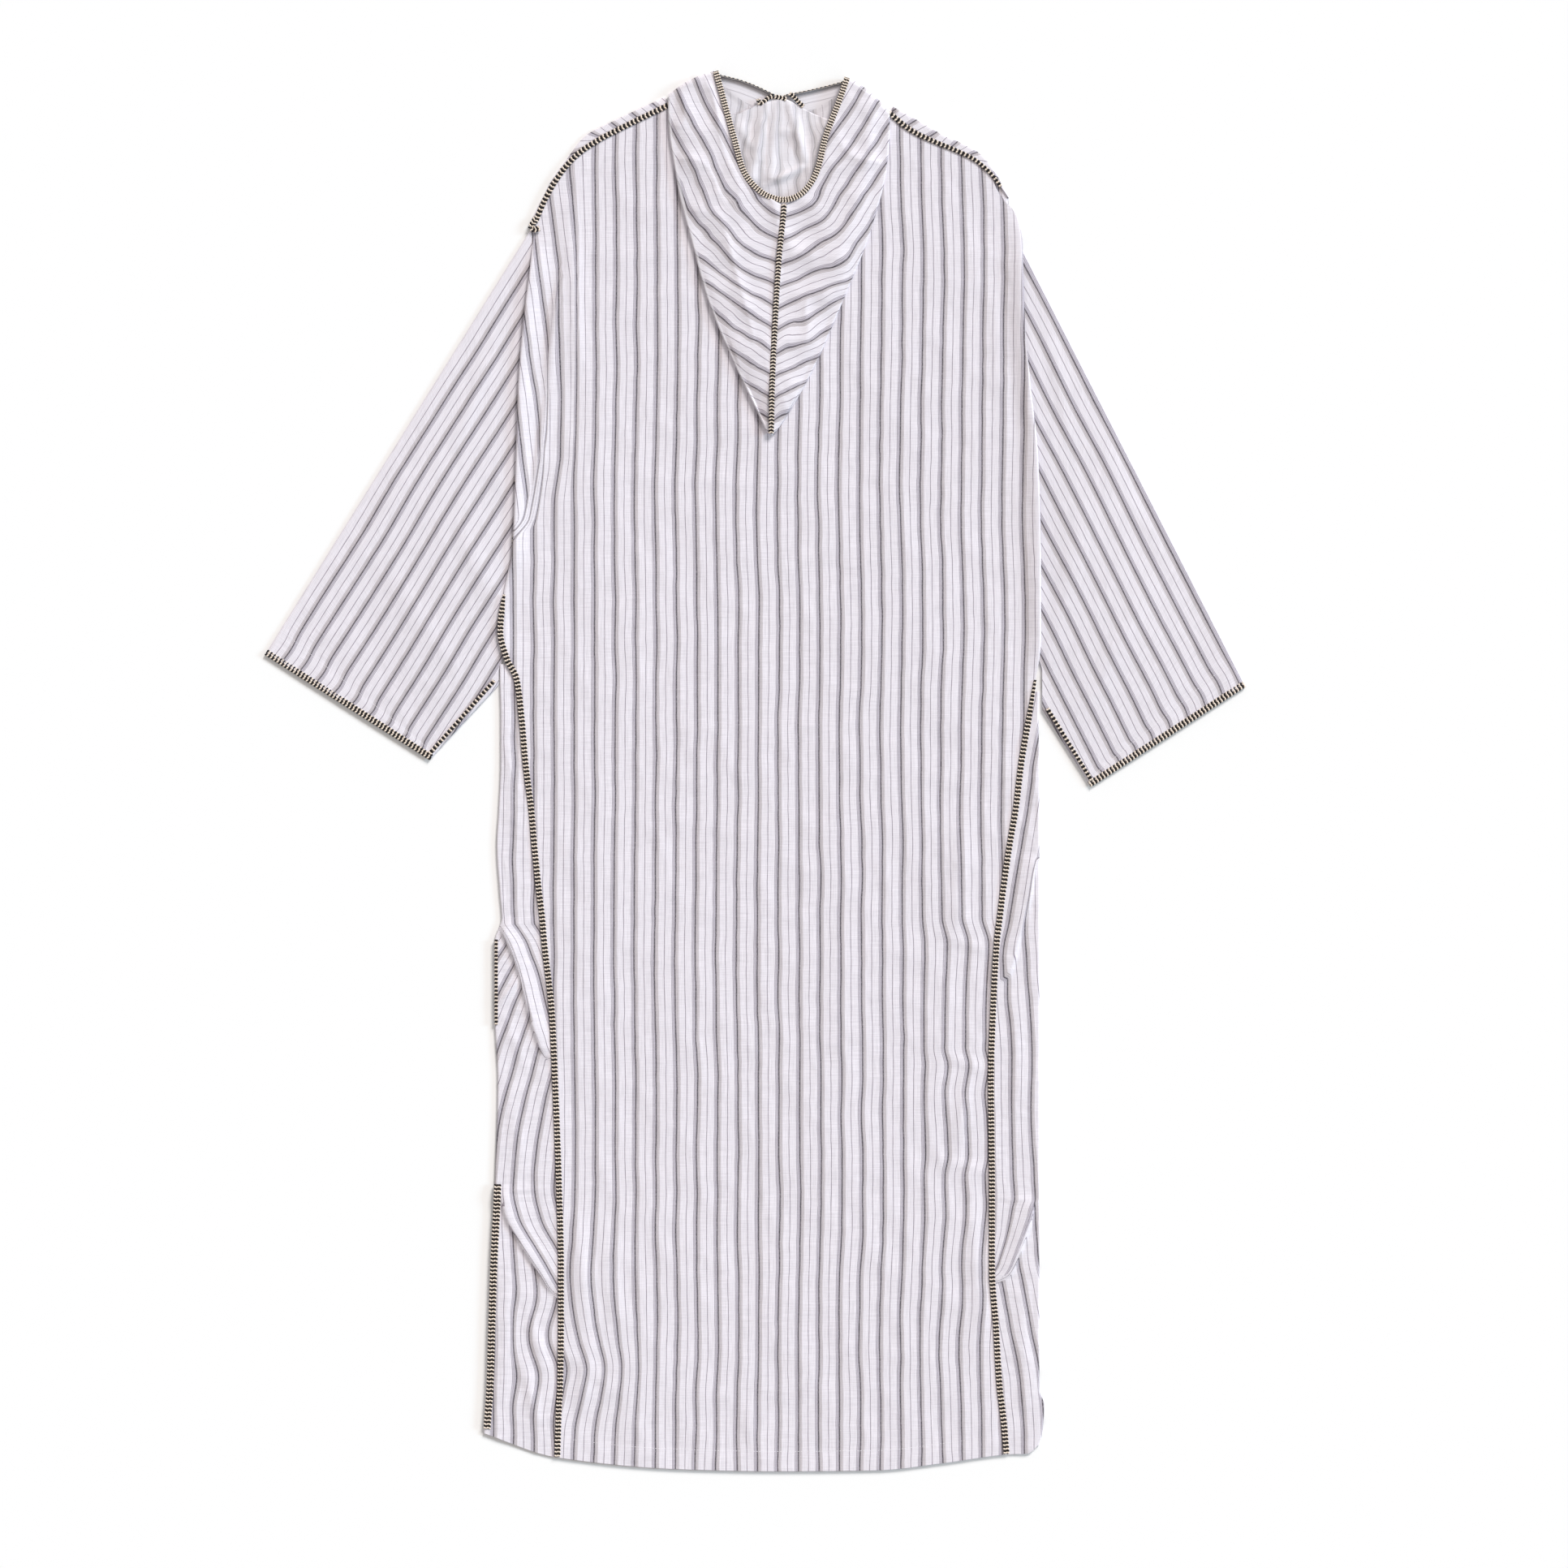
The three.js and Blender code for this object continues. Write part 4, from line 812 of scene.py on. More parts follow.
# Height of a gore's upper layer: fuller at the side's fold, with the folds on it.
def goreHeight(side, x, y):
    edge, back = outline[side](y), backEdge[side](y)
    share = np.clip((x - edge) / (back - edge), 0, 1)
    fall = gores["fullness"] * (1 - ease(share, 0.1, 0.75))
    folds, pushX, pushY = softFolds(gores["folds"], x, y)
    inside = within(share, 0.2, 0.08)
    height = np.maximum(folds, edgeSwell(side, x, y))
    return fabric["upperLevel"] + fall + inside * height, inside * pushX, inside * pushY


# A gore as rows from its seam on the front, round the fold at the body's side, to its seam on the back.
def makeGore(side):
    outward, radius = outwards[side], fabric["edgeRadius"] + gores["fullness"] / 2
    up = crispShares(gores["rows"])[:, None]

    def placeAt(share, seam):
        return settle(share, up, (gores["startY"], goreTop[side]), gores["settling"], seam,
                      lambda y: outline[side](y) - outward * (radius + fabric["wall"] / 2),
                      hem, lambda x: goreTop[side])

    frontX, frontY = placeAt(np.linspace(0, 1, gores["frontSteps"])[None, :], lambda y: goreFront(side, y))
    front = together(frontX, frontY, fabric["lowerLevel"])
    backShare = np.linspace(1, 0, gores["backSteps"])[None, :]
    backX, backY = placeAt(backShare, lambda y: backEdge[side](y) + outward * 0.5)
    z, pushX, pushY = goreHeight(side, backX, backY)
    free = within(backShare, 0.1, 0.15)
    z = z + free * (0.9 * crumple(backX, backY, 21) + 0.15 * unevenness(backX * 0.35, backY, 3.4, 25))
    shown = together(backX + pushX, backY + pushY, z)
    turn = np.linspace(0, math.pi, gores["foldSteps"] + 2)[None, 1:-1]
    edge = shown[:, :1, 0]
    bend = roundFold(edge, shown[:, :1, 1], fabric["lowerLevel"], (outward, 0), radius, turn)
    places = np.concatenate([front, bend, shown], 1)

    # across the stripes: x on the back layer, turned over at the fold on the front layer
    acrossBack = goreAcross(side, backX, backY)
    acrossFold = acrossBack[:, :1] + outward * radius * (math.pi - turn)
    acrossFront = acrossBack[:, :1] + edge - frontX + outward * radius * math.pi
    cloth = together(np.concatenate([acrossFront, acrossFold, acrossBack], 1), places[..., 1])
    return clothPiece(side + "Gore", [turned(side, places, cloth)])


# A grid and its cloth with their columns from left to right, when they were made from the seam outwards.
def turned(side, places, cloth):
    return (places[:, ::-1], cloth[:, ::-1]) if side == "right" else (places, cloth)


sleeves = {
    "puff": 1.6,
    "rows": 76,
    "upperSteps": 96,
    "lowerSteps": 40,
    "turnSteps": 5,
    "length": 330,
    "cuffTurn": 20,
    "cuffRise": 0.3,
    "groove": {"depth": 0.25, "width": 1.4},
    "bow": {"by": 1.8, "from": 14, "reach": 9},
    "wander": table("by cell seed", (1.3, 70, 53)),
    "braidShare": 0.62,
    "seed": {"left": 51, "right": 61},
    "cut": (0.44, 0.51),
    "area": 0.13,
    "left": {
        "bottomY": 87, "topY": 546, "underarmX": -259, "cuffTop": (-495, 115.5), "cuffBottom": (-327.5, 13),
        "folds": table(
            "x0 y0 x1 y1 width height steep", (-262, 430, -300, 330, 10, 1.2, 0.4), (-300, 250, -262, 160, 12, 1.3),
            (-380, 210, -310, 110, 12, 0.9), (-330, 320, -420, 190, 10, 0.7)
        ),
    },
    "right": {
        "bottomY": 62, "topY": 541, "underarmX": 289.8, "cuffTop": (495, 83), "cuffBottom": (338, -14),
        "folds": table(
            "x0 y0 x1 y1 width height steep", (296, 440, 318, 330, 10, 1, -0.4), (330, 260, 300, 120, 12, 1.3),
            (400, 200, 340, 70, 12, 0.9), (350, 330, 430, 190, 10, 0.6)
        ),
    },
}


# A place on a sleeve: along from the armhole (0) to the cuff (1), up from the underarm to the top edge.
def sleevePlace(side, along, up):
    size = sleeves[side]
    y = mix(size["bottomY"], size["topY"], up)
    seamX = armhole[side](y) + outwards[side] * 0.3
    startX = mix(size["underarmX"], seamX, ease(y, goreTop["left"] - 6, goreTop["left"] + 12))
    endX, endY = [mix(size["cuffBottom"][k], size["cuffTop"][k], up) for k in (0, 1)]
    return mix(startX, endX, along), mix(y, endY, along)


# Height of a sleeve's upper layer: puffed in the middle, both ways, with the folds on it.
def sleeveHeight(side, along, up, x, y):
    puff = np.sin(np.pi * np.minimum(up * 1.02, 1)) * np.sin(np.pi * ease(along, 0, 1) * 0.94)
    free = within(up, 0.1, 0.1) * ease(along, 0.02, 0.15) * ease(1 - along, 0.05, 0.15)
    return fabric["upperLevel"] + sleeves["puff"] * puff + free * softFolds(sleeves[side]["folds"], x, y)[0]


# A sleeve's top edge, a straight line from the shoulder to the cuff: its start and its run.
def topEdge(side):
    startX, startY = sleevePlace(side, np.array(0.0), np.array(1.0))
    return startX, startY, sleeves[side]["cuffTop"][0] - startX, sleeves[side]["cuffTop"][1] - startY


# Distance from a sleeve's top edge: the cross product of its run and the way to the place, by its length.
def fromTopEdge(side, x, y):
    startX, startY, runX, runY = topEdge(side)
    return np.abs(runX * (y - startY) - runY * (x - startX)) / math.hypot(runX, runY)


# The sleeve's whole ring of places at shares along it: lower layer, fold at the top edge, upper layer.
def sleeveRing(side, along):
    radius, low = fabric["edgeRadius"], fabric["lowerLevel"]
    runX, runY = topEdge(side)[2:]
    along = along[:, None]
    lowerX, lowerY = sleevePlace(side, along, np.linspace(0, 1, sleeves["lowerSteps"])[None, :])
    turn = np.linspace(0, math.pi, sleeves["turnSteps"] + 2)[None, 1:-1]
    out = unit(np.array([-runY, runX])) * outwards[side]
    bend = roundFold(lowerX[:, -1:], lowerY[:, -1:], low, out, radius, turn)
    upperUp = np.linspace(1, 0, sleeves["upperSteps"])[None, :]
    upperX, upperY = sleevePlace(side, along, upperUp)
    upper = together(upperX, upperY, sleeveHeight(side, along, upperUp, upperX, upperY))
    under, over = fromTopEdge(side, lowerX, lowerY), fromTopEdge(side, upperX, upperY)
    across = np.concatenate([-under, radius * (turn - math.pi / 2) + 0 * along, over], 1) * outwards[side]
    cloth = together(across, along * math.hypot(runX, runY))
    return np.concatenate([together(lowerX, lowerY, low), bend, upper], 1), cloth, upperUp


# How far along a sleeve the braid round its cuff begins.
def cuffShare(side):
    startX, startY = sleevePlace(side, np.array(0.0), np.array(0.5))
    endX, endY = sleevePlace(side, np.array(1.0), np.array(0.5))
    return 1 - (braids["width"] + 0.3) / math.hypot(endX - startX, endY - startY)


# A sleeve with its unevenness, the cuff's turned end and the groove of its stitches.
def makeSleeve(side):
    along = crispShares(sleeves["rows"]) * mix(cuffShare(side), 1, sleeves["braidShare"])
    places, cloth, upperUp = sleeveRing(side, along)
    upper = slice(-sleeves["upperSteps"], None)
    x, y = places[:, upper, 0], places[:, upper, 1]
    free = within(upperUp, 0.06, 0.04)
    places[:, upper, 2] += free * crumple(x, y, sleeves["seed"][side], 0.9)
    groove, bow = sleeves["groove"], sleeves["bow"]
    fromCuff = (1 - along[:, None]) * sleeves["length"]
    inside = fromCuff - sleeves["cuffTurn"]
    places[:, upper, 2] += sleeves["cuffRise"] * (1 - ease(inside, -1, 1))
    places[:, upper, 2] -= groove["depth"] * bell(inside, groove["width"])
    bowed = bow["by"] * bell(fromCuff - bow["from"], bow["reach"])
    cloth[:, upper, 0] += (bowed + wanderOf(sleeves["wander"], x, y)) * free
    return clothPiece(side + "Sleeve", [turned(side, places, cloth)])


hood = {
    "lowerLevel": 3.3,
    "foldRadius": 1.2,
    "crown": 1.9,
    "crownReach": 15,
    "neckStart": 0.72,
    "slant": 3.2,
    "topBow": 3,
    "seamGap": 0.15,
    "openingStart": 0.5,
    "stripes": {  # the crown seam's ends, the two slopes and how softly they meet
        "apex": (29.1, 573.0), "tip": (16.2, 338.0), "before": 11, "down": 0.9, "aside": 0.24, "spread": 0.28,
        "spreadOver": 110, "turn": math.radians(60), "softness": 9.0,
    },
    "rows": 120,
    "upperSteps": 46,
    "lowerSteps": 60,
    "foldSteps": 7,
    "collarSteps": 42,
    "cut": (0.42, 0.37),
    "area": 0.11,
    "levels": table(
        "leftX leftY innerX innerY gape rightX rightY", (12, 341, 16.2, 338, 0, 21, 342),
        (0, 366, 16.6, 352, 0, 38, 368), (-22, 413, 17.3, 388, 0, 60, 408), (-48, 476, 19.9, 445, 0, 91, 480),
        (-66, 541, 24.1, 515, 0, 114, 537), (-77, 582, 29.1, 568, 0, 128, 584),
        (-80, 600, 27.5, 582, 21.5, 131, 597), (-83, 618, 25.5, 603, 37.5, 133, 611),
        (-86.5, 640, 24.8, 638, 47, 135, 629), (-88, 662, 26, 672, 58, 136, 645),
        (-88, 680, 26.5, 699.5, 66.5, 136, 662)
    ),
    "folds": table(
        "x0 y0 x1 y1 width height steep", (118, 672, 112, 600, 8, 1.6, 0.4), (112, 600, 84, 520, 8, 1.6, 0.4),
        (-58, 566, 4, 500, 9, 1), (-38, 496, 12, 450, 8, 0.8), (44, 470, 84, 510, 8, 0.8),
        (-70, 640, -45, 560, 9, 0.9)
    ),
    "napeFolds": table(
        "x0 y0 x1 y1 width height steep", (12, 672, -4, 596, 5, 2.2, 0.5), (20, 674, 15, 592, 5, 2, -0.5),
        (36, 672, 55, 606, 5, 2.2, 0.5), (6, 588, 50, 612, 4, 1.9, 0.5), (-16, 650, 3, 618, 5, 1, -0.4),
        (16, 640, 40, 650, 4, 0.8, 0.5)
    ),
    "collar": {
        "slitX": 24, "fromSlit": 3, "slitY": 681, "bow": {"left": 3, "right": -1}, "seamShare": 0.75,
        "slitHalf": 8.3, "bandShare": 0.84, "fall": 0.8, "innerStretch": 1.12, "bandStart": 2, "bandWander": 0.3,
        "wander": table("by cell seed", (1.5, 12, 78)),
    },
    "upperDrag": table("by cell seed", (5, 33, 81), (1.7, 14, 82), (0.3, 5, 83)),
    "lowerDrag": table("by cell seed", (5.6, 25, 77), (2, 9, 79)),
    "wrinkle": {"height": 0.5, "cell": 9, "seed": 74},
    "gathers": {"rise": 0.5, "deep": 1.95, "deepCell": 24, "small": 0.35, "smallCell": 7, "napeFolds": 1.8},
}
napeLine = table(
    "x y", (-90, 671), (-50, 659), (-18.6, 662), (-4.5, 669), (11.9, 677), (21.2, 679.4), (33, 677), (49.4, 667.8),
    (63.5, 660.7), (76, 656), (100, 655), (138, 662)
)
nape = smoothLine(napeLine, "x", "y")
hoodShape = {key: alongShape(hood["levels"], key) for key in hood["levels"][0]}


# Height of the hood's upper layer, which rises from the fold to its crown, with the folds on it.
def hoodHeight(x, y, fromFold):
    crown = hood["crown"] * (1 - bell(fromFold, hood["crownReach"]))
    soft = 1 - bell(fromFold, hood["crownReach"] / 2)
    return hood["lowerLevel"] + 2 * hood["foldRadius"] + crown + soft * softFolds(hood["folds"], x, y)[0] * 0.7


# One half of the upper layer: rows from the tip (0) to the neck (1), shares from the fold to the middle.
def hoodUpper(row, side, share):
    inward = -outwards[side]
    foldX, foldY = hoodShape[side + "X"](row), hoodShape[side + "Y"](row)
    startX = foldX + inward * (hood["foldRadius"] + 0.5)
    endX = hoodShape["innerX"](row) - inward * np.maximum(hoodShape["gape"](row), hood["seamGap"])
    endY = hoodShape["innerY"](row) + inward * hood["slant"] * ease(row, 0.8, 1)
    x = mix(startX, endX, share)
    y = mix(foldY, endY, share) + hood["topBow"] * ease(row, 0.9, 1) * np.sin(np.pi * share)
    return together(x, y, hoodHeight(x, y, np.hypot(x - foldX, y - foldY)))


# The lower layer, whose rows near the neck are pulled up to the nape's seam in the middle.
def hoodLower(row, share):
    inset = hood["foldRadius"] + 0.5
    x = mix(hoodShape["leftX"](row) + inset, hoodShape["rightX"](row) - inset, share)
    level = mix(hoodShape["leftY"](row), hoodShape["rightY"](row), share)
    pull = ease(row, hood["neckStart"], 1) * np.sin(np.pi * share) ** 0.5
    return together(x, mix(level, np.minimum(nape(x), level + 40), pull), hood["lowerLevel"])


# Across the hood's stripes: they run along the face opening and turn into the crown seam. The coordinate
# is a smooth greatest of two slopes: one falls from the opening's side, one from its lower end.
def hoodAcross(x, y):
    size = hood["stripes"]
    apex, tip = np.array(size["apex"]), np.array(size["tip"])
    down = unit(tip - apex)
    along = (x - apex[0]) * down[0] + (y - apex[1]) * down[1]
    aside = np.abs((x - apex[0]) * down[1] - (y - apex[1]) * down[0])
    spread = size["aside"] + size["spread"] * ease(along, 0, size["spreadOver"])
    first = size["down"] * (along + size["before"]) + aside * spread
    second = math.cos(size["turn"]) * along + math.sin(size["turn"]) * aside
    return size["softness"] * np.logaddexp(first / size["softness"], second / size["softness"])


# The same with the cloth's uneven drag, which is calmer near the crown seam.
def upperAcross(x, y, share):
    calm = 0.25 + 0.75 * ease(1 - share + 0 * x, 0.02, 0.3)
    calm = calm * (0.35 + 0.65 * ease(-y, -640, -560))
    return hoodAcross(x, y) + wanderOf(hood["upperDrag"], x, y) * calm


# A place on the collar's edge, from the hood's upper fold (0) to the corner beside the neck slit (1).
def collarEdge(side, share):
    start = hoodUpper(np.array(1.0), side, np.array(1.0))
    size = hood["collar"]
    x = mix(start[0], size["slitX"] + outwards[side] * size["fromSlit"], share)
    return x, mix(start[1], size["slitY"], share) + size["bow"][side] * np.sin(np.pi * share)


# The distance of a place from the collar's edge.
def fromCollarEdge(side, x, y):
    edgeX, edgeY = collarEdge(side, np.linspace(0, 1, 24))
    return np.min(np.hypot(x[..., None] - edgeX, y[..., None] - edgeY), axis=-1)


# The collar: past the top row the upper layer turns over the fold and lies on the ground in front.
def makeCollar(side):
    size, inward = hood["collar"], -outwards[side]
    share = crispShares(hood["upperSteps"])
    top = hoodUpper(np.array(1.0), side, share)
    run = (top[-1] - top[0])[:2]
    out = unit(np.array([-inward * run[1], inward * run[0]]) / np.linalg.norm(run))
    turn = np.linspace(0, math.pi, hood["foldSteps"] * 2)[:, None]
    bend = roundFold(*top.T, out, (top[:, 2] - fabric["lowerLevel"]) / 2, turn, -1)
    ground = bend[-1]
    cornerX, cornerY = collarEdge(side, 1.0)
    x = mix(top[0, 0] + inward, size["slitX"] - inward * size["slitHalf"], np.minimum(share / size["seamShare"], 1))
    upSlit = ease(share, size["seamShare"], 1)
    farX, farY = mix(x, cornerX, upSlit), mix(frontNeck(x) + 0.9, cornerY, upSlit)
    over = np.linspace(0, 1, hood["collarSteps"])[1:, None]
    edgeX, edgeY = collarEdge(side, over)
    flatX = mix(ground[:, 0], farX, over) + share ** 2 * (edgeX - mix(ground[-1, 0], cornerX, over))
    flatY = mix(ground[:, 1], farY, over) + share ** 2 * (edgeY - mix(ground[-1, 1], cornerY, over))
    places = np.concatenate([bend, together(flatX, flatY, fabric["lowerLevel"])])
    fromEdge = np.linalg.norm(places[:, :, :2] - places[:, -1:, :2], axis=-1)
    wander = wanderOf(size["wander"], places[..., 0], places[..., 1])
    inner = places[..., 0] * size["innerStretch"] + wander
    band = fromCollarEdge(side, places[..., 0], places[..., 1]) + size["bandStart"] + size["bandWander"] * wander
    for across in (inner, band):
        across[: len(bend)] = upperAcross(top[:, 0], top[:, 1], share)
    fall = np.arange(len(places))[:, None] > len(bend)
    places[..., 2] += size["fall"] * fall * ease(share, size["bandShare"] - 0.04, size["bandShare"])
    split = int(np.searchsorted(share, size["bandShare"]))
    return [turned(side, places[:, part], together(across, fromEdge)[:, part])
            for part, across in ((slice(None, split + 1), inner), (slice(split, None), band))]


# The hood: both upper halves, a fold on each side, the lower layer with its gathers, and the collars.
def makeHood():
    row = np.linspace(0, 1, hood["rows"])[:, None]
    share = crispShares(hood["upperSteps"])[None, :]
    turn = np.linspace(math.pi, 0, hood["foldSteps"] + 2)[None, 1:-1]
    edgeFree = within(row, 0.1, 0.04) * within(share, 0.15, 0.05)
    upper, fold, across, acrossFold = {}, {}, {}, {}
    for side, outward in outwards.items():
        half = hoodUpper(row, side, share)
        slanted = 0.7 * half[..., 1] - outward * half[..., 0]
        size = hood["wrinkle"]
        wrinkle = unevenness(slanted * 0.35, half[..., 1] - 0.5 * slanted, size["cell"], size["seed"])
        half[..., 2] += edgeFree * (crumple(half[..., 0], half[..., 1], 71, 1.1, 2.6) + size["height"] * wrinkle)
        startX, startY, startZ = half[:, :1].transpose(2, 0, 1)
        radius = (startZ - hood["lowerLevel"]) / 2
        upper[side], fold[side] = half, roundFold(startX, startY, hood["lowerLevel"], (outward, 0), radius, turn)
        across[side] = upperAcross(half[..., 0], half[..., 1], share)
        acrossFold[side] = across[side][:, :1] + 3 * (1 - turn / math.pi)
    lower = hoodLower(row, np.linspace(0, 1, hood["lowerSteps"])[None, :])
    shownLower = ease(row, 0.5, 0.62)
    x, y = lower[..., 0], lower[..., 1]
    size = hood["gathers"]
    gather = size["deep"] * (0.5 - np.abs(unevenness(x * 2.2, y * 0.55, size["deepCell"], 75)) ** 0.6)
    gather = gather + size["napeFolds"] * softFolds(hood["napeFolds"], x, y)[0]
    gather = gather + size["small"] * unevenness(x, y * 0.6, size["smallCell"], 76)
    lower[..., 2] += shownLower * ease(1 - row, 0, 0.05) * (size["rise"] + gather)
    fan = 1 + 0.22 * ease(y, 560, 620) + 0.3 * ease(y, 620, 680)
    middle = hood["collar"]["slitX"]
    acrossLower = middle + (x - middle) * fan + wanderOf(hood["lowerDrag"], x, y) * shownLower

    # the bag as one grid round from the left half, across the lower layer, to the right half
    bag = np.concatenate([upper["left"][:, ::-1], fold["left"], lower, fold["right"][:, ::-1], upper["right"]], 1)
    acrossBag = np.concatenate([across["left"][:, ::-1], acrossFold["left"], acrossLower,
                                acrossFold["right"][:, ::-1], across["right"]], 1)
    grids = [turned("right", bag, together(acrossBag, bag[..., 1]))] + makeCollar("left") + makeCollar("right")
    piece = clothPiece("robeHood", grids)
    piece.data.materials.append(paleCotton)
    column = np.arange(bag.shape[1] - 1)[::-1]
    start = upper["left"].shape[1] + hood["foldSteps"]
    finish = [np.tile((column >= start) & (column < start + hood["lowerSteps"]), bag.shape[0] - 1)]
    for places, cloth in grids[1:]:
        turnedOver = np.arange(len(places) - 1) >= 2 * hood["foldSteps"] - 1
        finish.append(np.repeat(turnedOver, places.shape[1] - 1))
    piece.data.polygons.foreach_set("material_index", np.concatenate(finish).astype(np.int32))
    return piece


braids = {
    "width": 5.8,
    "thickness": 1.1,
    "stand": 0.72,
    "grainHeight": 0.95,
    "sunk": 0.42,
    "overlap": 1.16,
    "stripWidth": 0.92,
    "stripHeight": 0.55,
    "kinds": {  # columns of slanted stitches, millimetres a repeat, degrees, and the black ones' share
        "crown": {"columns": 2, "repeat": 3.4, "slant": 30, "black": 1.05},
        "mouth": {"columns": 3, "repeat": 2.8, "slant": 26, "black": 0.7},
        "gore": {"columns": 3, "repeat": 3.9, "slant": 31, "black": 1.04},
        "cuff": {"columns": 3, "repeat": 3.9, "slant": 29, "black": 1.04},
        "narrow": {"columns": 2, "repeat": 4.3, "slant": 26, "black": 1.12},
    },
    "lengths": {  # each braid's kind, the seed of its unevenness and its width
        "shoulder": ("narrow", 5, 5.3), "knot": ("crown", 6, 6), "goreBack": ("gore", 7, 5.8),
        "lowPeep": ("gore", 8, 7.0), "highPeep": ("gore", 8, 3.2), "goreFront": ("gore", 9, 5.8),
        "armhole": ("narrow", 10, 6), "cuff": ("cuff", 12, 6.4), "underseam": ("narrow", 13, 3.8),
        "mouth": ("mouth", 15, 5.8), "crown": ("crown", 16, 5.4), "collar": ("narrow", 18, 3.4),
        "slit": ("gore", 19, 5.8), "slitEnd": ("crown", 20, 4.4), "secondSlitEnd": ("crown", 21, 4.4),
    },
}


# A spindle along X with round ends: rings of places round it, and a pole at each end.
def makeGrain(sides, rings):
    at = np.linspace(-0.36, 0.36, rings)[:, None]
    girth = np.sqrt(1 - (2 * at) ** 2 * 0.82) / 2
    turn = np.linspace(0, 2 * np.pi, sides, endpoint=False)[None, :]
    ring = together(at, girth * np.cos(turn), girth * np.sin(turn)).reshape(-1, 3)
    index = np.arange(rings * sides).reshape(rings, sides)
    after = np.roll(index, -1, axis=1)
    a, b, c, d = index[:-1], after[:-1], after[1:], index[1:]
    around = np.stack([a, b, c, a, c, d], -1).reshape(-1, 3)
    first = np.stack([np.full(sides, rings * sides), after[0], index[0]], -1)
    last = np.stack([np.full(sides, rings * sides + 1), index[-1], after[-1]], -1)
    return np.concatenate([ring, [[-0.5, 0, 0], [0.5, 0, 0]]]), np.concatenate([around, first, last])


# Grains at their centres: each place is centre + along its axis + beside it + up, all as whole arrays.
def layGrains(grain, centre, axis, beside, up):
    shape, faces = grain
    points = (centre[:, None] + shape[None, :, :1] * axis[:, None] + shape[None, :, 1:2] * beside[:, None]
              + shape[None, :, 2:] * up[:, None])
    triangles = faces[None] + (np.arange(len(centre)) * len(shape))[:, None, None]
    return points.reshape(-1, 3), triangles.reshape(-1, 3)


# Places and directions at given distances along a path.
def alongPath(path, distance):
    at = travelled(path)
    run = readBetween(distance + 1.2, at, path) - readBetween(distance - 1.2, at, path)
    return readBetween(distance, at, path), run / np.maximum(np.linalg.norm(run, axis=-1, keepdims=True), 1e-9)


# The way up at distances along a path: one direction for the whole path, or one for each of its places.
def upAlong(path, outward, distance):
    if outward.ndim == 1:
        return np.broadcast_to(outward, (len(distance), 3))
    return unit(readBetween(distance, travelled(path), outward))


# A braid's stitches and the strip under them, as points, triangles and the finish of each triangle.
def braidParts(path, name, outward=(0, 0, 1), taper=0, taperOver=None):
    kind, seed, width = braids["lengths"][name]
    size, outward = braids["kinds"][kind], np.asarray(outward, float)
    columns, pitch, lean = size["columns"], size["repeat"] / 2, math.radians(size["slant"])
    length = travelled(path)[-1]
    count = max(2, int(length / pitch))
    random = np.random.default_rng(seed)
    number, column = [grid.ravel() for grid in np.meshgrid(np.arange(count), np.arange(columns), indexing="ij")]
    distance = (number + 0.5) * length / count

    def narrowed(at):
        return 1 - taper * np.clip((at - length) / (taperOver or length) + 1, 0, 1)

    place, run = alongPath(path, distance)
    up = upAlong(path, outward, distance)
    across = unit(np.cross(up, run))
    run = np.cross(across, up)
    off = (column - (columns - 1) / 2) * width / columns * narrowed(distance)
    slant = (lean * np.where(column % 2 == 0, 1, -1) + random.normal(0, 0.05, len(off)))[:, None]
    axis = across * np.cos(slant) + run * np.sin(slant)
    centre = place + across * off[:, None] + up * (braids["thickness"] - braids["sunk"])
    centre = centre + run * random.normal(0, 0.06, len(off))[:, None]
    centre = centre + up * random.normal(0, 0.03, len(off))[:, None]
    lengths = width / columns / math.cos(lean) * braids["overlap"] * narrowed(distance)
    share = np.where(number % 2 == 1, size["black"], 2 - size["black"])
    widths = pitch * math.cos(lean) * braids["overlap"] * share
    grain = makeGrain(6, 3)
    stitches = layGrains(grain, centre, axis * lengths[:, None], np.cross(up, axis) * widths[:, None],
                         up * braids["grainHeight"])

    # the strip that the stitches lie on
    at = np.linspace(0, length, max(3, int(length / 4)))
    low, ahead = alongPath(path, at)
    lift = upAlong(path, outward, at)
    side = unit(np.cross(lift, ahead)) * (width * braids["stripWidth"] / 2 * narrowed(at))[:, None]
    high = low + lift * braids["stripHeight"]
    corners = np.stack([low - side, low + side, high + side, high - side], 1).reshape(-1, 3)
    index = np.arange(len(corners)).reshape(-1, 4)
    a, b = index[:-1], index[1:]
    aNext, bNext = np.roll(a, -1, 1), np.roll(b, -1, 1)
    walls = np.concatenate([np.stack([a, bNext, aNext], -1), np.stack([a, b, bNext], -1)]).reshape(-1, 3)
    caps = np.concatenate([index[0, [0, 1, 2, 0, 2, 3]], index[-1, [0, 2, 1, 0, 3, 2]]]).reshape(-1, 3)
    strip = np.concatenate([walls, caps])
    finish = np.repeat(number % 2, len(grain[1]))
    return joinParts([(*stitches, finish), (corners, strip, np.full(len(strip), 2))])


# A braid's parts as one piece: cream and black stitches on a plain strip.
def braidPiece(name, parts, node):
    points, triangles, finish = joinParts(parts)
    piece = newPiece(name, points, triangles, [creamThread, blackThread, underThread])
    piece.data.polygons.foreach_set("material_index", finish.astype(np.int32))
    piece.data.polygons.foreach_set("use_smooth", finish < 2)
    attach(piece, "root")
    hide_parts(node)


# A smooth path through a few corners.
def throughCorners(corners, count, times):
    at = np.linspace(0, len(corners) - 1, count)
    return soften(readBetween(at, np.arange(len(corners)), np.array(corners, float)), times)


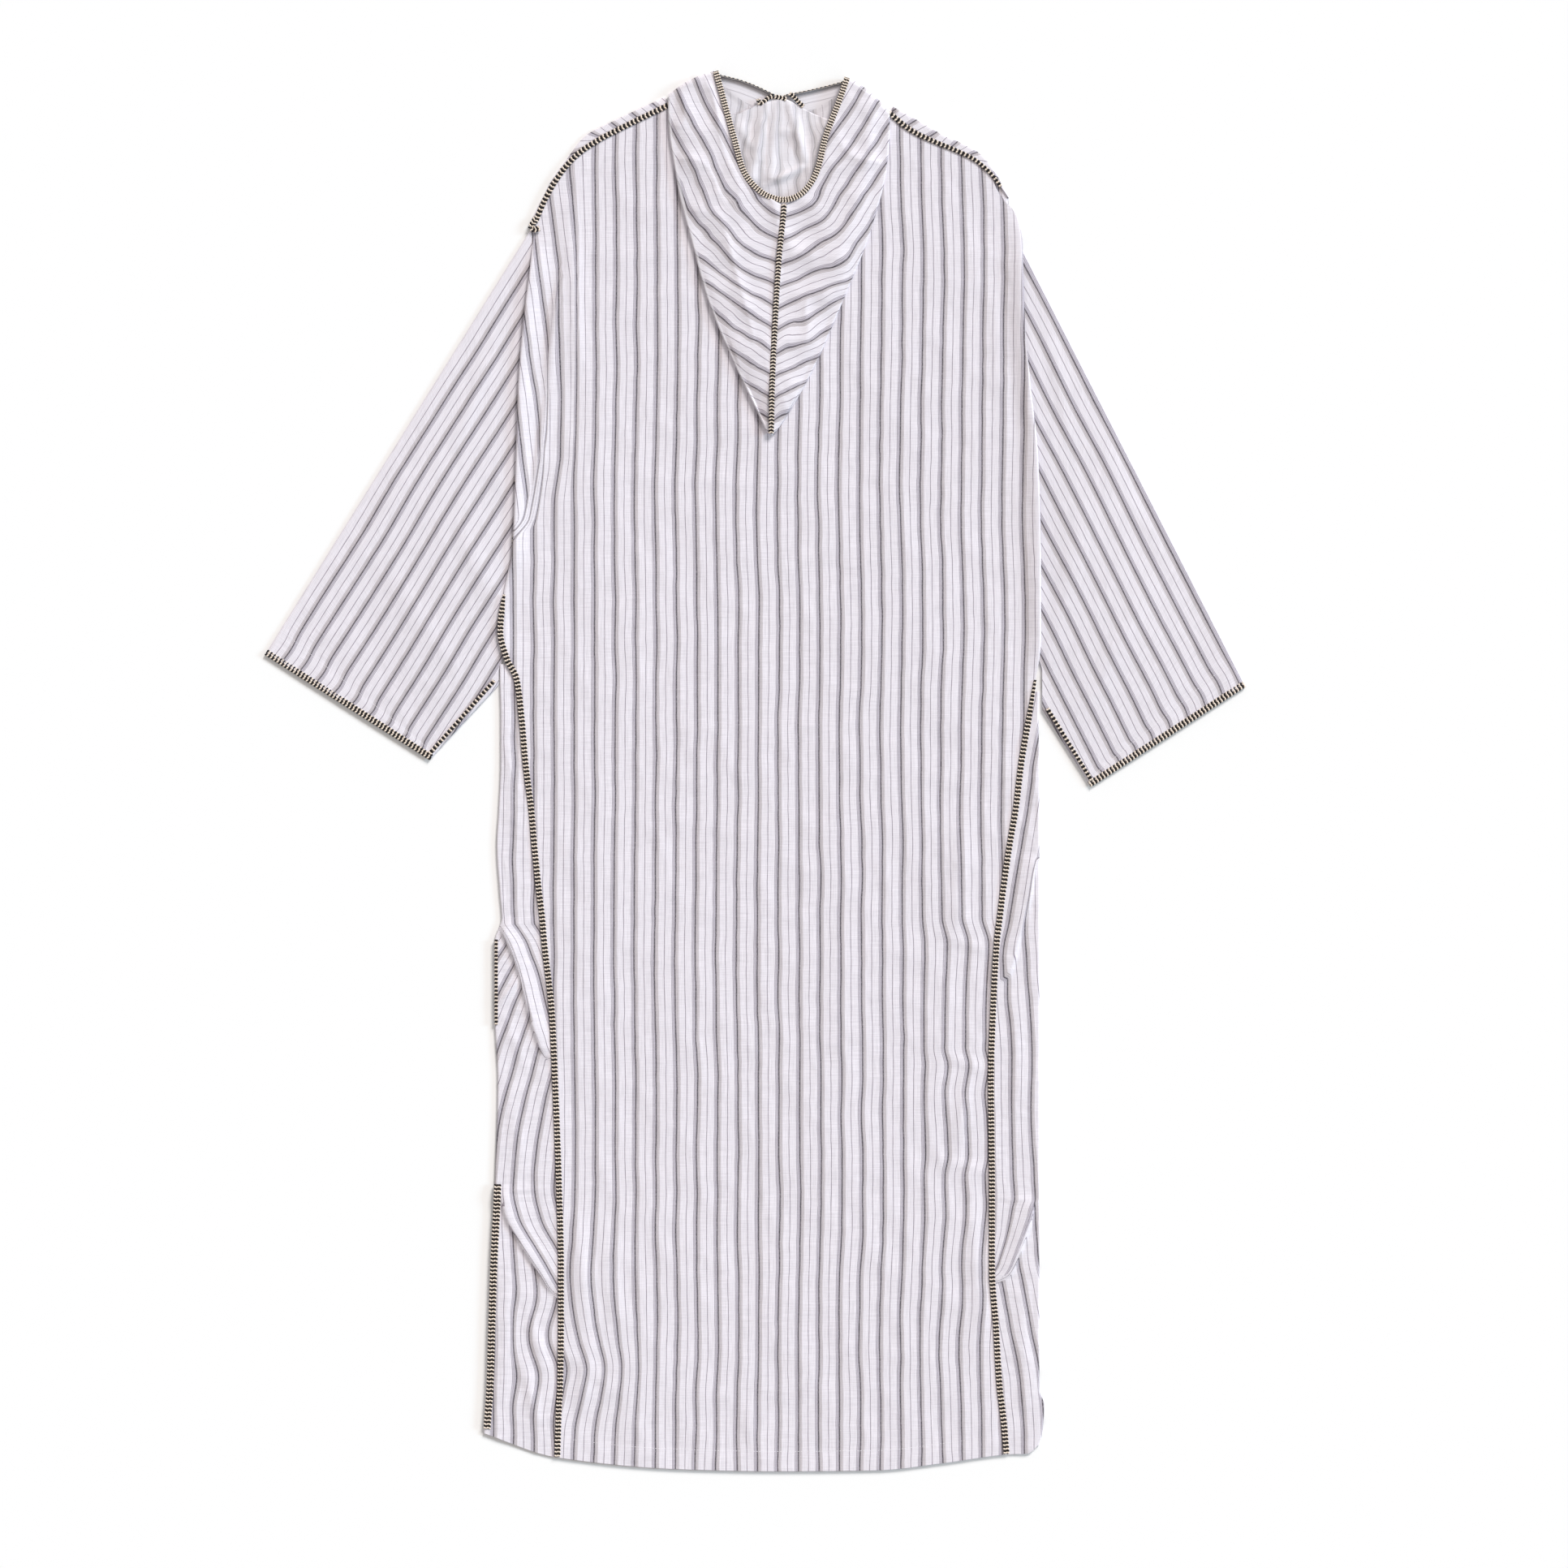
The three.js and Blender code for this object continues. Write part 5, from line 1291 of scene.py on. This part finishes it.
# A path on the highest cloth under a braid's width, with the braid's stand above it.
def pathOnCloth(height, x, y):
    levels = [height(x + share * braids["width"], y) for share in (-0.6, -0.3, 0, 0.3, 0.6)]
    return together(x, y, np.max(levels, axis=0) + braids["stand"])


shoulderKnot = [
    (-221.5, 557, 3.0), (-225.0, 552, 3.2), (-226.5, 548, 3.6), (-222.5, 546, 4.2), (-217.5, 547.5, 4.4),
]


# Along each shoulder seam, from under the hood; the left one's end is curled.
def makeShoulderBraids():
    for side, taper in (("left", 0), ("right", 0.35)):
        x, y = [alongShape(shoulders[side], key)(np.linspace(0, 1, 60)) for key in ("seamX", "seamY")]
        seam = together(x, y, fabric["upperLevel"] + braids["stand"])
        path = np.concatenate([seam[:1] + 4.0 * unit(seam[:1] - seam[1:2]), seam])
        parts = [braidParts(path, "shoulder", taper=taper)]
        if side == "left":
            parts.append(braidParts(throughCorners(shoulderKnot, 40, 6), "knot"))
        braidPiece(side + "ShoulderBraid", parts, "braid_shoulder_" + side)


# The left gore's front braid peeps round the fold in two places; the right one's faces the ground.
def goreFrontParts(side):
    if side == "right":
        y = np.linspace(-680, goreTop["right"] + 4, 40)
        path = together(goreFront("right", y) - braids["width"] / 2 - 0.3, y, 1.15)
        return [braidParts(path, "goreFront", (0, 0, -1))]
    parts = []
    for name, low, high, inset in (("lowPeep", -664, -417, 3.2), ("highPeep", -256, -170, 1.6)):
        y = np.linspace(low, high, 90)
        path = pathOnCloth(lambda a, b: goreHeight("left", a, b)[0], outline["left"](y) + inset, y)
        parts.append(braidParts(path, name))
    return parts


# Along the gores' back seams, narrower at the top, and along their front seams.
def makeGoreBraids():
    for side, top, taperOver in (("left", 178, 18), ("right", 92, 45)):

        def cloth(x, y):
            onBack = -outwards[side] * (x - backEdge[side](y)) > 0
            return np.where(onBack | (y > goreTop[side]), backHeight(x, y)[0], goreHeight(side, x, y)[0])

        y = np.linspace(float(hem(backEdge[side](-700.0))) + 1, top, 300)
        path = pathOnCloth(cloth, backEdge[side](y), y)
        parts = [braidParts(path, "goreBack", taper=0.6, taperOver=taperOver)]
        braidPiece(side + "GoreBackBraid", parts, "braid_gore_back_" + side)
        braidPiece(side + "GoreFrontBraid", goreFrontParts(side), "braid_gore_front_" + side)


# Under the back's rolled edges, and a little past the left one in two places.
def makeArmholeBraids():
    y = np.linspace(206, 470, 60)
    peep = {"left": 2.2 * (bell(y - 291, 5) + bell(y - 233, 8)), "right": 0}
    for side, outward in outwards.items():
        path = together(backEdge[side](y) - outward * (3.9 - peep[side]), y, fabric["upperLevel"] + 0.75)
        braidPiece(side + "ArmholeBraid", [braidParts(path, "armhole")], "braid_armhole_" + side)


# The braid round a cuff lies over the cloth's end, round both layers.
def makeCuffBraids():
    for side in outwards:
        middle = mix(cuffShare(side), 1, 0.55)
        places, cloth, upperUp = sleeveRing(side, np.array([middle - 0.01, middle, middle + 0.01]))
        before, ring, after = turned(side, places, cloth)[0]
        outward = unit(np.cross(np.gradient(ring, axis=0), after - before))
        outward = outward * np.sign(outward[-3 if side == "left" else 3, 2])
        parts = [braidParts(ring + outward * 0.05, "cuff", outward)]
        braidPiece(side + "CuffBraid", parts, "braid_cuff_" + side)


# Along the sleeves' lower seams, from the gores to the cuffs.
def makeUnderseamBraids():
    for side, start in (("left", 0.06), ("right", 0.1)):
        along = np.linspace(start, cuffShare(side) - 0.01, 40)
        x, y = sleevePlace(side, along, 0.02)
        path = together(x, y, sleeveHeight(side, along, np.full_like(along, 0.02), x, y) + braids["stand"])
        braidPiece(side + "UnderseamBraid", [braidParts(path, "underseam")], "braid_underseam_" + side)


mouthPath = {
    "neck": 0.995,
    "stations": 80,
    "turnSteps": 12,
    "turn": math.radians(135),
    "inset": 0.2,
    "leftOff": 5,
    "evenStations": 260,
    "rounded": (79, 181),
    "rounding": 26,
}


# The face opening's braid: down one edge, round the lower end, up the other, with both tops turned over.
def makeHoodBraids():
    size = mouthPath
    rows = np.linspace(size["neck"], hood["openingStart"] + 0.01, size["stations"])
    paths, lifts = [], []
    for side, outward in outwards.items():
        edge = hoodUpper(rows, side, np.ones_like(rows))
        run = unit(np.gradient(edge[:, :2], axis=0))
        edge = edge + together(outward * run[:, 1], -outward * run[:, 0], 0)
        edge[:, 2] += braids["stand"]
        turn = np.linspace(size["turn"], 0, size["turnSteps"])[:-1]
        radius = (edge[0, 2] - fabric["lowerLevel"]) / 2 - size["inset"]
        over = roundFold(*edge[0], -run[0], radius, turn, -1)
        lift = together(-run[0, 0] * np.sin(turn), -run[0, 1] * np.sin(turn), np.cos(turn))
        paths.append(np.concatenate([over, edge])[:-size["leftOff"]])
        lifts.append(np.concatenate([lift, np.tile([0, 0, 1.0], (len(edge), 1))])[:-size["leftOff"]])
    path, lift = [np.concatenate([left, right[::-1]]) for left, right in (paths, lifts)]
    at = travelled(path)
    even = np.linspace(0, at[-1], size["evenStations"])
    path, lift = readBetween(even, at, path), readBetween(even, at, lift)
    soften(path[slice(*size["rounded"])], size["rounding"])
    braidPiece("hoodMouthBraid", [braidParts(path, "mouth", lift)], "braid_mouth")
    rows = np.linspace(0.02, hood["openingStart"], 80)
    seam = hoodUpper(rows, "left", np.ones_like(rows))
    seam = np.concatenate([seam, seam[-1:] + (seam[-1:] - seam[-2:-1]) * 2])
    seam[:, 2] += braids["stand"]
    braidPiece("hoodCrownBraid", [braidParts(seam, "crown")], "braid_crown")


slitEnds = {  # the tops of the two braids beside the neck slit, bunched over the nape
    "left": [
        [(3.1, 678.2, 4), (4.2, 673.0, 4), (8.4, 674.8, 4), (13.0, 679.3, 4), (18.9, 681.2, 4)],
        [(19.5, 680.6, 4), (25.0, 679.4, 4), (31.5, 678.0, 4)],
    ],
    "right": [
        [(34.6, 683.6, 4), (40.0, 679.5, 4), (43.5, 675.2, 4), (48.8, 670.4, 4)],
    ],
}


# Along the collar's edge, seen edge on, and the tops of the braids beside the neck slit.
def makeNeckBraids():
    for side, outward in outwards.items():
        x, y = collarEdge(side, np.linspace(0.03, 0.97, 40))
        run = unit(together(np.gradient(x), np.gradient(y)))
        out = together(outward * run[:, 1], -outward * run[:, 0], 0.2)
        parts = [braidParts(together(x, y, 1.5 + braids["width"] / 4), "collar", out)]
        slitX = hood["collar"]["slitX"] + outward * (braids["width"] / 2 + 0.15)
        down = together(slitX, np.linspace(668, frontPanel["slitBottom"] + 1, 40), 0.05)
        parts.append(braidParts(down, "slit"))
        for name, corners in zip(("slitEnd", "secondSlitEnd"), slitEnds[side]):
            parts.append(braidParts(throughCorners(corners, 24, 3), name))
        braidPiece(side + "NeckBraid", parts, "braid_neck_" + side)


stitching = {"pitch": 3.0, "length": 2.1, "thickness": 0.42, "above": 0.3}


# A row of small stitches along a path, each a grain with the thread's own thickness.
def stitchPiece(name, x, y, height):
    path = together(x, y, height + stitching["above"])
    centre, run = alongPath(path, np.arange(stitching["pitch"] / 2, travelled(path)[-1], stitching["pitch"]))
    across = unit(np.cross([0, 0, 1.0], run))
    points, triangles = layGrains(makeGrain(5, 3), centre, run * stitching["length"],
                                  across * stitching["thickness"], np.cross(run, across) * stitching["thickness"])
    piece = newPiece(name, points, triangles, [whiteThread])
    piece.data.polygons.foreach_set("use_smooth", np.ones(len(triangles), bool))
    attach(piece, "root")
    return piece


# Stitches along the hem's turned edge.
def makeHemStitches():
    x = np.linspace(-194, 240, 220)
    y = hem(x) + backPanel["hemHeight"]
    return stitchPiece("hemStitches", x, y, backHeight(x, y)[0] + crumple(x, y, **backPanel["uneven"]))


# Stitches along a cuff's turned edge, on the upper layer.
def makeCuffStitches(side):
    up = np.linspace(0.03, 0.97, 90)
    along = np.full_like(up, 1 - sleeves["cuffTurn"] / sleeves["length"])
    x, y = sleevePlace(side, along, up)
    height = sleeveHeight(side, along, up, x, y) + crumple(x, y, sleeves["seed"][side], 0.9)
    return stitchPiece(side + "CuffStitches", x, y, height)


front = makeFront()
declareCloth(front, "front_panel")
back = makeBack()
declareCloth(back, "back_panel", [makeHemStitches()])
print("body made")
for side in outwards:
    declareCloth(makeGore(side), "gore_" + side)
    declareCloth(makeSleeve(side), "sleeve_" + side,
                 [makeCuffStitches(side)])
print("gores and sleeves made")
declareCloth(makeHood(), "hood")
makeShoulderBraids()
makeGoreBraids()
makeArmholeBraids()
makeCuffBraids()
makeUnderseamBraids()
makeHoodBraids()
makeNeckBraids()
print("hood and braids made")

studio = {
    "floorSize": 9.0,
    "floor": {"Base Color": linear(249, 249, 249), "Roughness": 0.9, "Specular IOR Level": 0.1},
    "sky": 0.48,
    "skyColor": (1, 0.96, 0.935, 1),
    "suns": [  # a soft main light from the upper right, and a weak cool one that comes in low from the right
        {"from": (0.55, 0.95, 0.64), "angle": math.radians(20), "strength": 3.12, "color": (1, 0.964, 0.94)},
        {"from": (1.0, 0.12, 0.34), "angle": math.radians(12), "strength": 1.35, "color": (0.55, 0.82, 1)},
    ],
    "cameraPlace": (0.0291, -0.0131, 3.74),
    "lens": 85,
    "sensor": 36,
}


# A plain square round the middle, at height 0.
def makeFloor():
    half = studio["floorSize"] / 2 / millimetre
    corners = np.array([(-half, -half, 0), (half, -half, 0), (half, half, 0), (-half, half, 0)])
    newPiece("floor", corners, np.array([[0, 1, 2, 3]]), [newMaterial("paleFloor", studio["floor"])[0]])


# A thing with no mesh, such as a lamp, put into the scene.
def newHolder(name, data, place):
    holder = bpy.data.objects.new(name, data)
    bpy.context.scene.collection.objects.link(holder)
    holder.location = place
    return holder


# An even sky, and each sun turned from its place towards the middle.
def makeLight():
    world = bpy.data.worlds.new("studio")
    bpy.context.scene.world = world
    world.use_nodes = True
    tree = world.node_tree
    feed(tree, tree.nodes["Background"], {"Color": studio["skyColor"], "Strength": studio["sky"]})
    for sun in studio["suns"]:
        lamp = bpy.data.lights.new("softSun", "SUN")
        lamp.energy, lamp.angle, lamp.color = sun["strength"], sun["angle"], sun["color"]
        holder = newHolder("softSun", lamp, sun["from"])
        holder.rotation_euler = (-Vector(sun["from"])).to_track_quat("-Z", "Y").to_euler()


# The camera looks straight down.
def makeCamera():
    data = bpy.data.cameras.new("camera")
    data.lens, data.sensor_width = studio["lens"], studio["sensor"]
    bpy.context.scene.camera = newHolder("camera", data, studio["cameraPlace"])


makeFloor()
makeLight()
makeCamera()
bpy.context.scene.view_settings.view_transform = "Standard"
bpy.context.view_layer.update()
print("triangles before the walls:", sum(len(mesh.polygons) for mesh in bpy.data.meshes))
